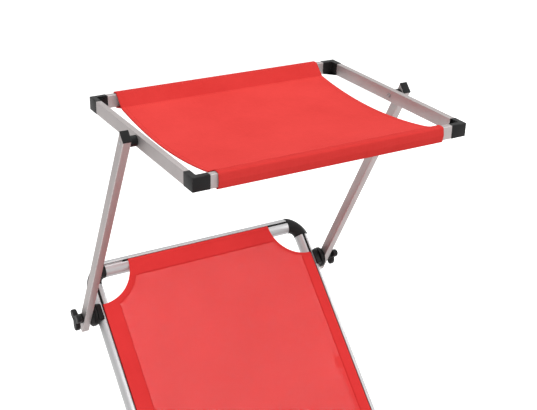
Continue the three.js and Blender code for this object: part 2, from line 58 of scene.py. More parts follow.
lounger = {
    "back": 690, "seat": 590, "foot": 570,  # lengths of the sections
    "grooveSpan": 555,  # between the side tubes' grooves
    "hingeRise": 4,  # from the lying surface up to the hinge axes
    "recline": -joints["backrest_recline"]["range_deg"][0],
    "gap": 0.3,  # between pieces that touch
}
gap = lounger["gap"]


def axesOf(tilt, halfTurn):
    # Rows are the local x, y and z axes: a turn about x by the tilt, then half a turn about z if asked
    c, s = math.cos(math.radians(tilt)), math.sin(math.radians(tilt))
    side = -1 if halfTurn else 1
    return np.array([[side, 0, 0], [0, side * c, s], [0, -side * s, c]], float)


def place(joint, tilt=0.0, halfTurn=False):
    # A joint's point, with axes of its own
    origin = np.array(joints[joint]["pos_m"]) / toMetres
    return {"origin": origin, "axes": axesOf(tilt, halfTurn), "side": -1 if halfTurn else 1}


def moved(at, offset, tilt):
    # A place whose origin is shifted along another one's axes, with a tilt of its own
    origin = at["origin"] + np.array(offset, float) @ at["axes"]
    return {"origin": origin, "axes": axesOf(tilt, at["side"] < 0), "side": at["side"]}


def inPart(points, at):
    # The part's place of a local point: origin + x, y and z times the local axes
    return (at["origin"] + points @ at["axes"]) * toMetres


def smooth(value):
    # s^2 * (3 - 2 s), for a share s held between 0 and 1
    share = np.clip(value, 0, 1)
    return share * share * (3 - 2 * share)


# Outlines

def arcOf(centre, radii, start, end, steps):
    # centre + radius * (cos a, sin a), for a from start to end in degrees
    angle = np.radians(np.linspace(start, end, steps + 1))
    return np.array(centre) + np.stack([np.cos(angle), np.sin(angle)], 1) * np.array(radii)


def ovalOf(wide, tall, steps=56):
    # (wide / 2 * cos a, tall / 2 * sin a), once round
    return arcOf((0, 0), (wide / 2, tall / 2), 0, 360, steps)[:-1]


def roundedLine(corners, radii, closed=True, steps=4):
    # Each corner gives way to an arc that leaves both sides at radius * tan(turn / 2) from the corner
    corners = np.array(corners, float)
    radii = np.array(np.broadcast_to(radii, len(corners)), float)
    back, ahead = np.roll(corners, 1, 0) - corners, np.roll(corners, -1, 0) - corners
    back /= np.linalg.norm(back, axis=1, keepdims=True)
    ahead /= np.linalg.norm(ahead, axis=1, keepdims=True)
    turn = np.pi - np.arccos(np.clip((back * ahead).sum(1), -1, 1))
    if not closed:
        radii[[0, -1]] = 0
    line = []
    for corner, radius, angle, b, a in zip(corners, radii, turn, back, ahead):
        if radius * angle < 1e-6:
            line.append(corner[None])
            continue
        middle = corner + (a + b) / np.linalg.norm(a + b) * radius / math.cos(angle / 2)
        first, last = [corner + way * radius * math.tan(angle / 2) - middle for way in (b, a)]
        share = np.linspace(0, 1, steps + 1)[:, None]
        arc = np.sin((1 - share) * angle) * first + np.sin(share * angle) * last
        line.append(middle + arc / math.sin(angle))
    return np.concatenate(line)


def boxOf(wide, tall, radius):
    # A rectangle about the origin with rounded corners
    x, y = wide / 2, tall / 2
    return roundedLine([[x, -y], [x, y], [-x, y], [-x, -y]], radius)


def anticlockwise(outline):
    # The area has the sign of the sum of x * next y - next x * y
    after = np.roll(outline, -1, 0)
    area = (outline[:, 0] * after[:, 1] - after[:, 0] * outline[:, 1]).sum()
    return outline if area > 0 else outline[::-1]


def outwardOf(outline):
    # Mitred normals: the sum of the two sides' normals over one plus their product
    ahead = np.roll(outline, -1, 0) - outline
    ahead /= np.linalg.norm(ahead, axis=1, keepdims=True)
    right = np.stack([ahead[:, 1], -ahead[:, 0]], 1)
    before = np.roll(right, 1, 0)
    return (right + before) / (1 + (right * before).sum(1))[:, None]


# Closed shells: a grid of points with rows along a piece and columns round it

def gridQuads(rows, columns, isRing=True):
    # Corners of the cells between a row and the next, and between a column and the next, in index form
    wide = columns if isRing else columns - 1
    row, column = np.meshgrid(np.arange(rows - 1), np.arange(wide), indexing="ij")
    after = (column + 1) % columns
    corners = [row * columns + column, row * columns + after,
               (row + 1) * columns + after, (row + 1) * columns + column]
    return np.stack(corners, -1).reshape(-1, 4)


def gridMap(along, across):
    # Corner by corner, the distance round the piece and the distance along it
    row, column = np.meshgrid(np.arange(len(along) - 1), np.arange(len(across) - 1), indexing="ij")
    corners = [(row, column), (row, column + 1), (row + 1, column + 1), (row + 1, column)]
    both = [np.stack([across[c], along[r]], -1) for r, c in corners]
    return np.stack(both, 2).reshape(-1, 4, 2)


def lengthsOf(points):
    # The sum, up to each point, of the distances between neighbours
    steps = np.linalg.norm(np.diff(points, axis=0), axis=1)
    return np.concatenate([[0], np.cumsum(steps)])


wearTurn = {"from": 15, "over": 8}  # degrees: more than the steps of a tube


def edgeOf(points):
    # Nearly one where the grid turns outwards: smooth((turn - from) / over)
    before, after = np.roll(points, 1, 1), np.roll(points, -1, 1)
    under = np.concatenate([points[:1], points[:-1]])
    over = np.concatenate([points[1:], points[-1:]])
    normal = np.cross(after - before, over - under)
    edge = np.zeros(points.shape[:2])
    for low, high in ((before, after), (under, over)):
        a, b = points - low, high - points
        size = np.linalg.norm(a, axis=-1) * np.linalg.norm(b, axis=-1)
        turn = np.degrees(np.arccos(np.clip((a * b).sum(-1) / np.maximum(size, 1e-9), -1, 1)))
        isOut = ((a - b) * normal).sum(-1) > 0
        sharp = smooth((turn - wearTurn["from"]) / wearTurn["over"])
        edge = np.maximum(edge, np.where(isOut & (size > 1e-9), sharp, 0))
    return edge.ravel()


def closedShell(points):
    # Mapped by the length round the widest ring and the length between the rings' middles
    rows, columns = points.shape[:2]
    along = lengthsOf(points.mean(1))
    widest = np.argmax(np.linalg.norm(np.ptp(points, axis=1), axis=1))
    across = lengthsOf(np.concatenate([points[widest], points[widest][:1]]))
    first, last = np.arange(columns)[::-1], np.arange(columns) + (rows - 1) * columns
    return {"points": points.reshape(-1, 3), "quads": gridQuads(rows, columns),
            "map": gridMap(along, across), "caps": [first, last], "edge": edgeOf(points)}


def rimStations(start, end, rim, core=0.4):
    # Quarter-round rims: the outline is drawn in by rim * (1 - sin a) at rim * (1 - cos a) from the end
    angle = np.linspace(0, np.pi / 2, 4)
    inset = np.concatenate([[rim + core], rim * (1 - np.sin(angle))])
    height = np.concatenate([[0], rim * (1 - np.cos(angle))])
    return np.concatenate([start + height, end - height[::-1]]), np.concatenate([inset, inset[::-1]])


def carried(outline, centres, sideways, upward, inset):
    # A point of the drawn-in outline (x, y) at a station is centre + x * sideways + y * upward
    outline = anticlockwise(outline)
    inner = outline - inset[:, None, None] * outwardOf(outline)
    sideways, upward = [np.broadcast_to(way, centres.shape)[:, None] for way in (sideways, upward)]
    return closedShell(centres[:, None] + inner[..., :1] * sideways + inner[..., 1:] * upward)


def prism(outline, start, end, rim, axis, centre=(0, 0, 0), core=0.4):
    # The outline's x and y run along the two axes across the prism's own
    along, inset = rimStations(start, end, rim, core)
    sideways, upward, onward = np.eye(3)[{"x": [1, 2, 0], "y": [0, 2, 1], "z": [0, 1, 2]}[axis]]
    return carried(outline, along[:, None] * onward + np.array(centre), sideways, upward, inset)


def turnedShell(profile, steps, radii=None):
    # A profile of places x and radii r, rounded if asked, goes round the x axis: (x, r cos a, r sin a)
    profile = np.array(profile, float) if radii is None else roundedLine(profile, radii, False)
    angle = np.linspace(0, 2 * np.pi, steps, endpoint=False)
    across, up = profile[:, 1:] * np.cos(angle), profile[:, 1:] * np.sin(angle)
    return closedShell(np.stack([np.broadcast_to(profile[:, :1], up.shape), across, up], -1))


def turnedRod(start, end, radius, bore, steps, radii=None):
    # A cylinder between two places on the x axis, its end faces running in to the bore
    return turnedShell([[start, bore], [start, radius], [end, radius], [end, bore]], steps, radii)


def volumeOf(shell, points):
    # Signed: the sum of p . (q x r) / 6 over the triangles
    a, b, c, d = [points[shell["quads"][:, k]] for k in range(4)]
    total = (a * np.cross(b, c)).sum() + (a * np.cross(c, d)).sum()
    for cap in shell["caps"]:
        ring = points[cap]
        total += (ring[:1] * np.cross(ring[1:-1], ring[2:])).sum()
    return total / 6


def meshOf(name, shells, at, mirror=1):
    points, faces, maps, count = [], [], [], 0
    for shell in shells:
        placed = inPart(shell["points"] * np.array([mirror, 1, 1]), at)
        middle = placed.mean(0)
        quads, corners, caps = shell["quads"], shell["map"], shell["caps"]
        if volumeOf(shell, placed - middle) < 0:  # a mirrored shell is turned back to face outwards
            quads, corners, caps = quads[:, ::-1], corners[:, ::-1], [cap[::-1] for cap in caps]
        points.append(placed)
        faces += (quads + count).tolist() + [(cap + count).tolist() for cap in caps]
        maps += [corners.reshape(-1, 2) * toMetres, np.zeros((sum(map(len, caps)), 2))]
        count += len(placed)
    mesh = bpy.data.meshes.new(name)
    mesh.from_pydata(np.concatenate(points).tolist(), [], faces)
    mesh.uv_layers.new(name="along").data.foreach_set("uv", np.concatenate(maps).ravel())
    edge = mesh.attributes.new("edge", "FLOAT", "POINT")
    edge.data.foreach_set("value", np.concatenate([shell["edge"] for shell in shells]))
    return mesh


def newObject(name, data):
    made = bpy.data.objects.new(name, data)
    bpy.context.scene.collection.objects.link(made)
    return made


sharpFrom = math.radians(38)


def makePiece(name, mesh, finish, body):
    mesh.shade_smooth()
    mesh.set_sharp_from_angle(angle=sharpFrom)
    mesh.materials.append(finishes[finish])
    piece = newObject(name, mesh)
    if body:
        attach(piece, body)
    return piece


def dress(node, shells, at, finish, mirror=1):
    # The finished piece of one CAD node
    piece = makePiece(f"{node}_finished", meshOf(node, shells, at, mirror), finish, bodyOf[node])
    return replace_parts(piece, node)


def sideName(at, mirror):
    return "right" if mirror * at["side"] > 0 else "left"


def dressPair(stem, shells, at, finish):
    for mirror in (1, -1):
        dress(f"{stem}_{sideName(at, mirror)}", shells, at, finish, mirror)


def addPair(stem, detail, shells, at, finish):
    # Small pieces that belong to a pair of CAD nodes, such as a pin's heads
    for mirror in (1, -1):
        node = f"{stem}_{sideName(at, mirror)}"
        name = f"{node}_{detail}"
        makePiece(name, meshOf(name, shells, at, mirror), finish, bodyOf[node])


# Shader nodes, and the groups of them that the materials share

def feed(tree, sockets, values):
    # Each socket, by name or number, takes a value or another node's output
    for key, value in values.items():
        if isinstance(value, bpy.types.NodeSocket):
            tree.links.new(value, sockets[key])
        else:
            sockets[key].default_value = value


def newNode(tree, kind, inputs=None, **settings):
    node = tree.nodes.new(f"ShaderNode{kind}")
    for setting, value in settings.items():
        setattr(node, setting, value)
    feed(tree, node.inputs, inputs or {})
    return node.outputs


def mathNode(tree, operation, *values):
    return newNode(tree, "Math", dict(enumerate(values)), operation=operation)[0]


def noiseNode(tree, vector, scale, detail=2.0, roughness=0.5):
    values = {"Vector": vector, "Scale": scale, "Detail": detail, "Roughness": roughness}
    return newNode(tree, "TexNoise", values)["Fac"]


def rangeNode(tree, value, fromLow, fromHigh, toLow, toHigh):
    return newNode(tree, "MapRange", dict(enumerate((value, fromLow, fromHigh, toLow, toHigh))))[0]


def scaledNode(tree, vector, factors):
    return newNode(tree, "Mapping", {"Vector": vector, "Scale": factors})[0]


def mixColours(tree, factor, first, second):
    # Inputs 6 and 7 of a Mix node are its colours, and output 2 is their mixture
    first, second = [(*value, 1) if isinstance(value, tuple) else value for value in (first, second)]
    return newNode(tree, "Mix", {0: factor, 6: first, 7: second}, data_type="RGBA")[2]


def bumpNode(tree, height, distance):
    return newNode(tree, "Bump", {"Height": height, "Distance": distance})[0]


def groupNode(tree, name, vector, **values):
    return newNode(tree, "Group", {"Vector": vector, **values}, node_tree=bpy.data.node_groups[name])


def newGroup(name, inputs, outputs):
    # Takes a vector and numbers, and gives numbers
    tree = bpy.data.node_groups.new(name, "ShaderNodeTree")
    tree.interface.new_socket(name="Vector", in_out="INPUT", socket_type="NodeSocketVector")
    for socket, value in inputs.items():
        made = tree.interface.new_socket(name=socket, in_out="INPUT", socket_type="NodeSocketFloat")
        made.default_value = value
    for socket in outputs:
        tree.interface.new_socket(name=socket, in_out="OUTPUT", socket_type="NodeSocketFloat")
    return tree, tree.nodes.new("NodeGroupInput").outputs, tree.nodes.new("NodeGroupOutput").inputs


def makeWeaveGroup():
    # Plain weave: threads rise as |sin(pi * threads * x)| each way, with holes where both are small
    tree, given, out = newGroup(
        "plainWeave", {"Threads": 600.0, "Hole": 0.0}, ["Height", "Cover", "Shade"])
    split = newNode(tree, "SeparateXYZ", {0: given["Vector"]})
    turns = mathNode(tree, "MULTIPLY", given["Threads"], math.pi)
    sines = [mathNode(tree, "SINE", mathNode(tree, "MULTIPLY", split[k], turns)) for k in (0, 1)]
    rises = [mathNode(tree, "ABSOLUTE", sine) for sine in sines]
    crossing = mathNode(tree, "MULTIPLY", *sines)
    body = mathNode(tree, "MULTIPLY", *rises)
    knots = mathNode(tree, "MULTIPLY_ADD", crossing, 0.2, 0.2)
    height = mathNode(tree, "MULTIPLY_ADD", body, 0.6, knots)
    cover = mathNode(tree, "GREATER_THAN", mathNode(tree, "MAXIMUM", *rises), given["Hole"])
    threads = [noiseNode(tree, scaledNode(tree, given["Vector"], factors), 1.0)
               for factors in ((40, 420, 1), (420, 40, 1))]
    slubs = mathNode(tree, "MULTIPLY_ADD", mathNode(tree, "ADD", *threads), 0.4, -0.4)
    # Shade: painted shade at the weave's low points between threads, plus real slubs of yarn tone
    shade = mathNode(tree, "ADD", rangeNode(tree, height, 0.0, 1.0, 0.3, 0.7), slubs)
    feed(tree, out, {"Height": height, "Cover": cover, "Shade": shade})


def makeGrainGroup():
    # Fine moulded or worn grain over soft patches
    tree, given, out = newGroup("surfaceGrain", {"Fine": 1500.0, "Broad": 12.0}, ["Height", "Patch"])
    fine = noiseNode(tree, given["Vector"], given["Fine"], 3.0)
    broad = noiseNode(tree, given["Vector"], given["Broad"], 4.0, 0.6)
    feed(tree, out, {"Height": fine, "Patch": rangeNode(tree, broad, 0.3, 0.7, 0.0, 1.0)})


def makeWearGroup():
    # Rubbed edges: the meshes' own edge value, broken up by noise
    tree, given, out = newGroup("edgeWear", {"Amount": 1.0}, ["Mask"])
    stored = newNode(tree, "Attribute", attribute_name="edge")
    edge = rangeNode(tree, stored["Fac"], 0.2, 0.9, 0.0, 1.0)
    broken = rangeNode(tree, noiseNode(tree, given["Vector"], 220.0, 3.0), 0.35, 0.65, 0.2, 1.0)
    mask = mathNode(tree, "MULTIPLY", mathNode(tree, "MULTIPLY", edge, broken), given["Amount"])
    feed(tree, out, {"Mask": mask})


finishes = {}


def newMaterial(name):
    material = bpy.data.materials.new(f"{name}_finish")
    finishes[name] = material
    material.use_nodes = True
    tree = material.node_tree
    return tree, tree.nodes["Principled BSDF"].inputs, newNode(tree, "TexCoord")


def toned(colour, factor, lift=0.0):
    return tuple(min(1, factor * c + lift) for c in colour)


def wornColour(tree, coordinates, grain, look, patchTone, amount):
    # Patches that are lighter or darker by a factor, and the rubbed edges over them
    wear = groupNode(tree, "edgeWear", coordinates["Object"], Amount=amount)
    tone = mixColours(tree, grain["Patch"], look["colour"], toned(look["colour"], patchTone))
    return mixColours(tree, wear["Mask"], tone, look["worn"])


metalLook = {
    "aluminium": {"colour": (0.48, 0.48, 0.485), "worn": (0.64, 0.64, 0.645), "rough": 0.4,
                  "lines": 9e-6, "metallic": 0.88},
    # The box tubes' grey, plain and worn, is tinted pink: a painted reflection of the red cloth
    "box_aluminium_pink_reflection": {"colour": (0.43, 0.395, 0.39), "worn": (0.6, 0.57, 0.565), "rough": 0.5,
                      "lines": 9e-6, "metallic": 0.8},
    "steel": {"colour": (0.36, 0.36, 0.365), "worn": (0.5, 0.5, 0.505), "rough": 0.3,
              "lines": 3e-6, "metallic": 0.9},
}


def makeMetal(name, look):
    # Satin metal with fine lines drawn along each tube, soft smudges and brighter rubbed edges
    tree, shader, coordinates = newMaterial(name)
    lines = noiseNode(tree, scaledNode(tree, coordinates["UV"], (2600, 9, 1)), 1.0, 3.0)
    grain = groupNode(tree, "surfaceGrain", coordinates["Object"], Fine=900.0, Broad=14.0)
    rough = mathNode(tree, "MULTIPLY_ADD", grain["Patch"], 0.08, look["rough"])
    feed(tree, shader, {
        "Metallic": look["metallic"],
        "Base Color": wornColour(tree, coordinates, grain, look, 0.94, 0.8),
        "Roughness": mathNode(tree, "MULTIPLY_ADD", lines, 0.06, rough),
        "Normal": bumpNode(tree, lines, look["lines"])})


mouldedLook = {
    "black_plastic": {"colour": (0.008, 0.008, 0.0082), "worn": (0.045, 0.045, 0.046), "rough": 0.4,
                      "fine": 1700.0, "deep": 1.6e-5, "gloss": 0.15},
    "keder": {"colour": (0.006, 0.006, 0.006), "worn": (0.01, 0.01, 0.01), "rough": 0.5,
              "fine": 2500.0, "deep": 1e-5, "gloss": 0.2},
    "rubber": {"colour": (0.017, 0.017, 0.017), "worn": (0.06, 0.058, 0.055), "rough": 0.78,
               "fine": 900.0, "deep": 3e-5, "gloss": 0.25},
}


def makeMoulded(name, look):
    # Black moulding with a fine spark grain, uneven gloss and greyed edges
    tree, shader, coordinates = newMaterial(name)
    grain = groupNode(tree, "surfaceGrain", coordinates["Object"], Fine=look["fine"], Broad=30.0)
    feed(tree, shader, {
        "Base Color": wornColour(tree, coordinates, grain, look, 1.5, 0.7),
        "Roughness": mathNode(tree, "MULTIPLY_ADD", grain["Patch"], 0.1, look["rough"]),
        "Specular IOR Level": look["gloss"], "Normal": bumpNode(tree, grain["Height"], look["deep"])})


meshWeave = {"threads": 620.0, "hole": 0.0, "rise": 1.6e-4, "rough": 0.62}
canvasWeave = {"threads": 1900.0, "hole": 0.0, "rise": 5e-5, "rough": 0.78}
# deep: the colour of the painted shade between threads; colour: the yarn's own colour
clothLook = {
    "seat_mesh": {**meshWeave, "colour": (0.91, 0.066, 0.065), "deep": (0.72, 0.034, 0.034),
                  "hole": 0.36},
    "seat_hem": {**meshWeave, "colour": (0.82, 0.049, 0.048), "deep": (0.66, 0.031, 0.031)},
    "canopy_canvas": {**canvasWeave, "colour": (0.82, 0.070, 0.062), "deep": (0.67, 0.040, 0.036)},
    # A darker copy of the canvas for the sleeves: painted shade on the front roll and the rear band
    "canopy_sleeve_painted_shade": {**canvasWeave, "colour": (0.71, 0.050, 0.045), "deep": (0.58, 0.029, 0.026)},
    "red_thread": {"threads": 3000.0, "hole": 0.0, "rise": 2e-5, "rough": 0.6,
                   "colour": (0.66, 0.028, 0.028), "deep": (0.45, 0.014, 0.015)},
}


def makeCloth(name, look):
    # Woven cloth with painted shade between its threads, faded patches and, in a mesh, open holes
    tree, shader, coordinates = newMaterial(name)
    weave = groupNode(tree, "plainWeave", coordinates["UV"], Threads=look["threads"], Hole=look["hole"])
    grain = groupNode(tree, "surfaceGrain", coordinates["Object"], Fine=300.0, Broad=9.0)
    # The weave's low points turn to the deep colour as painted shade between threads
    tone = mixColours(tree, weave["Shade"], look["deep"], look["colour"])
    fade = mathNode(tree, "MULTIPLY", grain["Patch"], 0.35)
    feed(tree, shader, {
        "Base Color": mixColours(tree, fade, tone, toned(look["colour"], 1.08, 0.01)),
        "Roughness": mathNode(tree, "MULTIPLY_ADD", grain["Patch"], 0.08, look["rough"]),
        "Specular IOR Level": 0.05, "Normal": bumpNode(tree, weave["Height"], look["rise"])})
    if look["hole"]:
        feed(tree, shader, {"Alpha": weave["Cover"]})


makeWeaveGroup()
makeGrainGroup()
makeWearGroup()
for makeLook, looks in ((makeMetal, metalLook), (makeMoulded, mouldedLook), (makeCloth, clothLook)):
    for lookName, lookValues in looks.items():
        makeLook(lookName, lookValues)
print("materials made")

# Places of the sections and of what turns on them
tilts = {"footLeg": 10, "middleLeg": 12, "rearLeg": 8, "rearFolded": -90, "arm": 29.94, "canopy": 2.57}
recline = lounger["recline"]
seatAt = place("backrest_recline")
seatTurnedAt = place("backrest_recline", 0, True)
backAt = place("backrest_recline", recline)
footAt = place("foot_fold", 0, True)
seatFootAt = place("foot_fold")
clampAt = place("canopy_arms_swing", recline)
armAt = place("canopy_arms_swing", tilts["arm"])
knobAt = place("canopy_arms_swing")
canopyAt = place("canopy_tilt", tilts["canopy"])

# Camera, solved from the frames' corners in the photograph, from the middle of the top tube's groove
cameraSizes = {"right": -984.75, "ahead": -2020.34, "above": 1033.56, "yaw": 30.2, "pitch": 22.67,
               "lens": 68.64, "sensor": 36}
target = inPart(np.array([0, lounger["back"], -lounger["hingeRise"]]), backAt)
cameraData = bpy.data.cameras.new("camera")
cameraData.lens = cameraSizes["lens"]
cameraData.sensor_width = cameraSizes["sensor"]
camera = newObject("camera", cameraData)
camera.location = Vector(target) + toMetres * Vector(
    [cameraSizes["right"], cameraSizes["ahead"], cameraSizes["above"]])
camera.rotation_euler = Euler(
    (math.radians(90 - cameraSizes["pitch"]), 0, -math.radians(cameraSizes["yaw"])))
bpy.context.scene.camera = camera

# Oval frame tubes with a groove on the crown, or outside the crown of an end tube, and their elbows
railSizes = {"wide": 35, "thick": 32, "rim": 0.6, "endShift": 8, "slotWide": 5.6, "slotDeep": 8.5,
             "lip": 0.6, "flank": 3.6, "roundOff": 5, "bend": 30, "collar": 2, "proud": 0.6,
             "elbowRim": 1.2}
railHalfWide, railHalfTall = railSizes["wide"] / 2, railSizes["thick"] / 2
railFit = (railHalfWide + gap, railHalfTall + gap)  # the radii inside what grips the tube
railCollar = ovalOf(*[railSizes[way] + 2 * railSizes["proud"] for way in ("wide", "thick")])
railX = lounger["grooveSpan"] / 2
faceZ = -lounger["hingeRise"]
railZ = faceZ - railHalfTall


def grooveOutline(shift=0.0, flank=0.0):
    # An oval with a slot, whose side beyond the slot is drawn out by the flank
    s = railSizes
    near, far = [shift + side * s["slotWide"] / 2 for side in (-1, 1)]
    floor, lip = railHalfTall - s["slotDeep"], s["lip"]
    start, end = [math.degrees(math.acos(x / railHalfWide)) for x in (near, far)]
    rim = arcOf((0, 0), (railHalfWide, railHalfTall), start, 360 + end, 72)
    slot = [rim[-2], rim[-1], [far, floor], [near, floor], rim[0], rim[1]]
    outline = np.concatenate([rim[1:-1], roundedLine(slot, [0, lip, lip, lip, lip, 0], False)[1:-1]])
    outline[:, 0] += flank * np.clip((outline[:, 0] - far) / (railHalfWide - far), 0, 1)
    return outline


def sideRail(start, end):
    # The grooved oval, straight along y
    return prism(grooveOutline(), start, end, railSizes["rim"], "y", (railX, 0, railZ))


def cornerElbow(crossY):
    # An oval round a quarter circle, with straight ends whose rims are rounded. Its outer half is drawn
    # out by flank * sin^2 a - roundOff * sin 2a, to meet the end tube and to round the corner off
    s = railSizes
    radius, lead = s["bend"], s["collar"]
    ends, inset = rimStations(-lead, lead, s["elbowRim"])
    half = len(ends) // 2
    bend = np.linspace(0, np.pi / 2, 13)
    angle = np.concatenate([np.zeros(half), bend, np.full(half, np.pi / 2)])
    offset, inset = [np.concatenate([each[:half], 0 * bend, each[half:]]) for each in (ends, inset)]
    cos, sin = np.cos(angle), np.sin(angle)
    outward, onward = np.stack([cos, sin, 0 * cos], 1), np.stack([-sin, cos, 0 * cos], 1)
    centres = [railX - radius, crossY - radius, railZ] + radius * outward + offset[:, None] * onward
    shell = carried(railCollar, centres, outward, [0, 0, 1], inset)
    points = shell["points"].reshape(len(angle), -1, 3)
    reach = ((points - centres[:, None]) * outward[:, None]).sum(-1, keepdims=True) / railHalfWide
    drawn = s["flank"] * sin ** 2 - s["roundOff"] * np.sin(2 * angle)
    points += np.clip(reach, 0, 1.1) * drawn[:, None, None] * outward[:, None]
    return {**shell, "points": points.reshape(-1, 3)}


hingeSizes = {"radius": 22, "thick": 29.2, "reach": 27, "collar": 3, "lugRise": 10, "rim": 1.4,
              "dish": (16.5, 10.5), "dishDeep": 1.6, "draft": 0.6, "ribs": 14, "ribLong": 4.4,
              "ribWide": 1.3, "boss": 4.2, "headRadius": 8, "headThick": 2.5}


def hingeHalf(start):
    # A dished disc with a lug that runs towards +y into a collar round the tube's end
    s = hingeSizes
    end = start + (s["thick"] - gap) / 2
    rimWide, rimNarrow = s["dish"]
    isOuter = start > railX
    plain, face = (start, end) if isOuter else (end, start)
    floor = face + s["dishDeep"] * (-1 if isOuter else 1)
    shells = [turnedShell(
        [[plain, s["boss"]], [plain, s["radius"]], [face, s["radius"]], [face, rimWide + s["draft"]],
         [floor, rimWide], [floor, rimNarrow], [face, rimNarrow - s["draft"]], [face, s["boss"]]],
        64, [0, 0.7, s["rim"], 0.6, 0.5, 0.5, 0.6, 0])]
    rib = prism(boxOf(s["ribLong"], s["ribWide"], 0.5), min(face, floor), max(face, floor), 0.3, "x")
    ribAtTop = rib["points"] + [0, (rimWide + rimNarrow) / 2, 0]
    for angle in np.arange(s["ribs"]) * 2 * np.pi / s["ribs"]:
        cos, sin = math.cos(angle), math.sin(angle)
        turn = np.array([[1, 0, 0], [0, cos, sin], [0, -sin, cos]])
        shells.append({**rib, "points": ribAtTop @ turn})
    collarStart = s["reach"] - gap - s["collar"]
    lugEnd = collarStart + s["collar"] / 2
    lug = roundedLine([[0, -s["radius"]], [lugEnd, railZ - railHalfTall + 2], [lugEnd, faceZ - 2],
                       [0, s["lugRise"]]], 0.3)
    collar = prism(railCollar, collarStart, collarStart + s["collar"], 0.9, "y", (railX, 0, railZ))
    return [*shells, prism(lug, start, end, s["rim"], "x"), collar]


headShape = {"rimHigh": 0.35, "foot": 0.6, "wide": 0.98, "tip": 0.12}  # shares of thickness and radius


def domedHead(start, radius, thick, way=1, steps=28):
    # Head of a pin, bolt or rivet along x: a flat rim that turns up into a low dome
    s = headShape
    angle = np.linspace(0, np.pi / 2, 5)
    dome = np.stack([start + way * thick * (s["rimHigh"] + (1 - s["rimHigh"]) * np.sin(angle)),
                     radius * (s["tip"] + (s["wide"] - s["tip"]) * np.cos(angle))], 1)
    edge = [[start, radius * s["foot"]], [start, radius * s["wide"]]]
    return turnedShell(np.concatenate([edge, dome]), steps)


innerStart = railX - hingeSizes["thick"] / 2
outerStart = railX + gap / 2


def dressHinge(stem, at):
    # A seat's half of a hinge, and the heads of the pin through both halves
    dressPair(stem, hingeHalf(outerStart), at, "black_plastic")
    head = hingeSizes["headRadius"], hingeSizes["headThick"]
    heads = [domedHead(railX + hingeSizes["thick"] / 2, *head), domedHead(innerStart - gap, *head, -1)]
    addPair(stem, "pin", heads, at, "steel")


def dressEndFrame(name, length, at):
    # The U of tubes and elbows round a section's free end, and its hinge halves
    s = railSizes
    crossY, corner = length - s["endShift"], s["bend"] + s["collar"] + gap
    outline = grooveOutline(s["endShift"], s["flank"])
    cross = prism(outline, corner - railX, railX - corner, s["rim"], "x", (0, crossY, railZ))
    dress(f"{name}_end_rail", [cross], at, "aluminium")
    dressPair(f"{name}_rail", [sideRail(hingeSizes["reach"], crossY - corner)], at, "aluminium")
    dressPair(f"{name}_elbow", [cornerElbow(crossY)], at, "black_plastic")
    dressPair(f"{name}_hinge", hingeHalf(innerStart), at, "black_plastic")


dressEndFrame("back", lounger["back"], backAt)
dressEndFrame("foot", lounger["foot"], footAt)
dressPair("seat_rail", [sideRail(hingeSizes["reach"] - lounger["seat"], -hingeSizes["reach"])],
          seatAt, "aluminium")
dressHinge("seat_back_hinge", seatTurnedAt)
dressHinge("seat_foot_hinge", seatFootAt)
print("frame dressed")

# Legs: bent tubes, the brackets that carry them, and the shoes on their cross tubes
legSizes = {"radius": 11, "bend": 45, "foldGap": 4, "bracketLong": 32, "grip": 11, "wrap": 2.6,
            "rim": 0.9, "cheekThick": 4.5, "cheekRadius": 13, "webThick": 4, "headRadius": 6.5,
            "headThick": 2, "shoeWide": 30, "sole": 5, "shoeWrap": 3, "shoeLong": 44, "shoeChamfer": 5,
            "shoeInset": 24, "shoeRound": 2.2, "notches": 4, "notchWide": 1.8, "notchDeep": 1.1}
openCore = 0.1  # how far the middles of thin-walled ends are drawn in


def legTube(drop):
    # A circle along a U, with a half round at each end about the pivot's axis
    s = legSizes
    bend = np.linspace(0, np.pi / 2, 15)
    dome = np.linspace(0.05, np.pi / 2, 9)[:-1]
    fallX, fallZ = s["bend"] * (1 - np.cos(bend)) - railX, s["bend"] * (1 - np.sin(bend)) - drop
    left = np.stack([np.concatenate([np.full(len(dome) + 1, -railX), fallX]),
                     np.concatenate([s["radius"] * np.cos(dome), [0], fallZ])], 1)
    line = np.concatenate([left, left[::-1] * [-1, 1]])
    inset = s["radius"] * (1 - np.sin(dome))
    inset = np.concatenate([inset, np.zeros(len(line) - 2 * len(dome)), inset[::-1]])
    way = np.gradient(line, axis=0)
    way /= np.linalg.norm(way, axis=1, keepdims=True)
    centres, sideways = [np.stack([x, 0 * x, z], 1) for x, z in (line.T, (-way[:, 1], way[:, 0]))]
    return carried(arcOf((0, 0), s["radius"], 0, 360, 32)[:-1], centres, sideways, [0, 1, 0], inset)


def legBracket():
    # A saddle under the tube, two round cheeks below it, and a web between them
    s = legSizes
    half, near = s["bracketLong"] / 2, s["radius"] + gap
    tubeZ = railHalfTall + s["foldGap"] + s["radius"]
    lift = math.degrees(math.asin((railHalfTall - s["grip"]) / railFit[1]))
    under = arcOf((0, tubeZ), [r + s["wrap"] for r in railFit], lift - 180, -lift, 28)
    over = arcOf((0, tubeZ), railFit, -lift, lift - 180, 28)
    cheek = np.concatenate([
        arcOf((0, 0), s["cheekRadius"], -180, 0, 20), [[half, near + 3], [-half, near + 3]]])
    shells = [prism(np.concatenate([under, over]), -half, half, s["rim"], "y", (railX, 0, 0), openCore)]
    for start in (railX - near - s["cheekThick"], railX + near):
        shells.append(prism(cheek, start, start + s["cheekThick"], s["rim"], "x"))
    web = boxOf(2 * (near + s["cheekThick"]), s["webThick"], 1.0)
    shells.append(prism(web, 0.4 - half, half - 0.4, 0.8, "y", (railX, 0, near + s["webThick"] / 2)))
    return shells


def bracketHeads():
    # Domed heads on the outer faces of the cheeks
    s = legSizes
    far, head = s["radius"] + gap + s["cheekThick"], (s["headRadius"], s["headThick"])
    return [domedHead(railX + far, *head), domedHead(railX - far, *head, -1)]


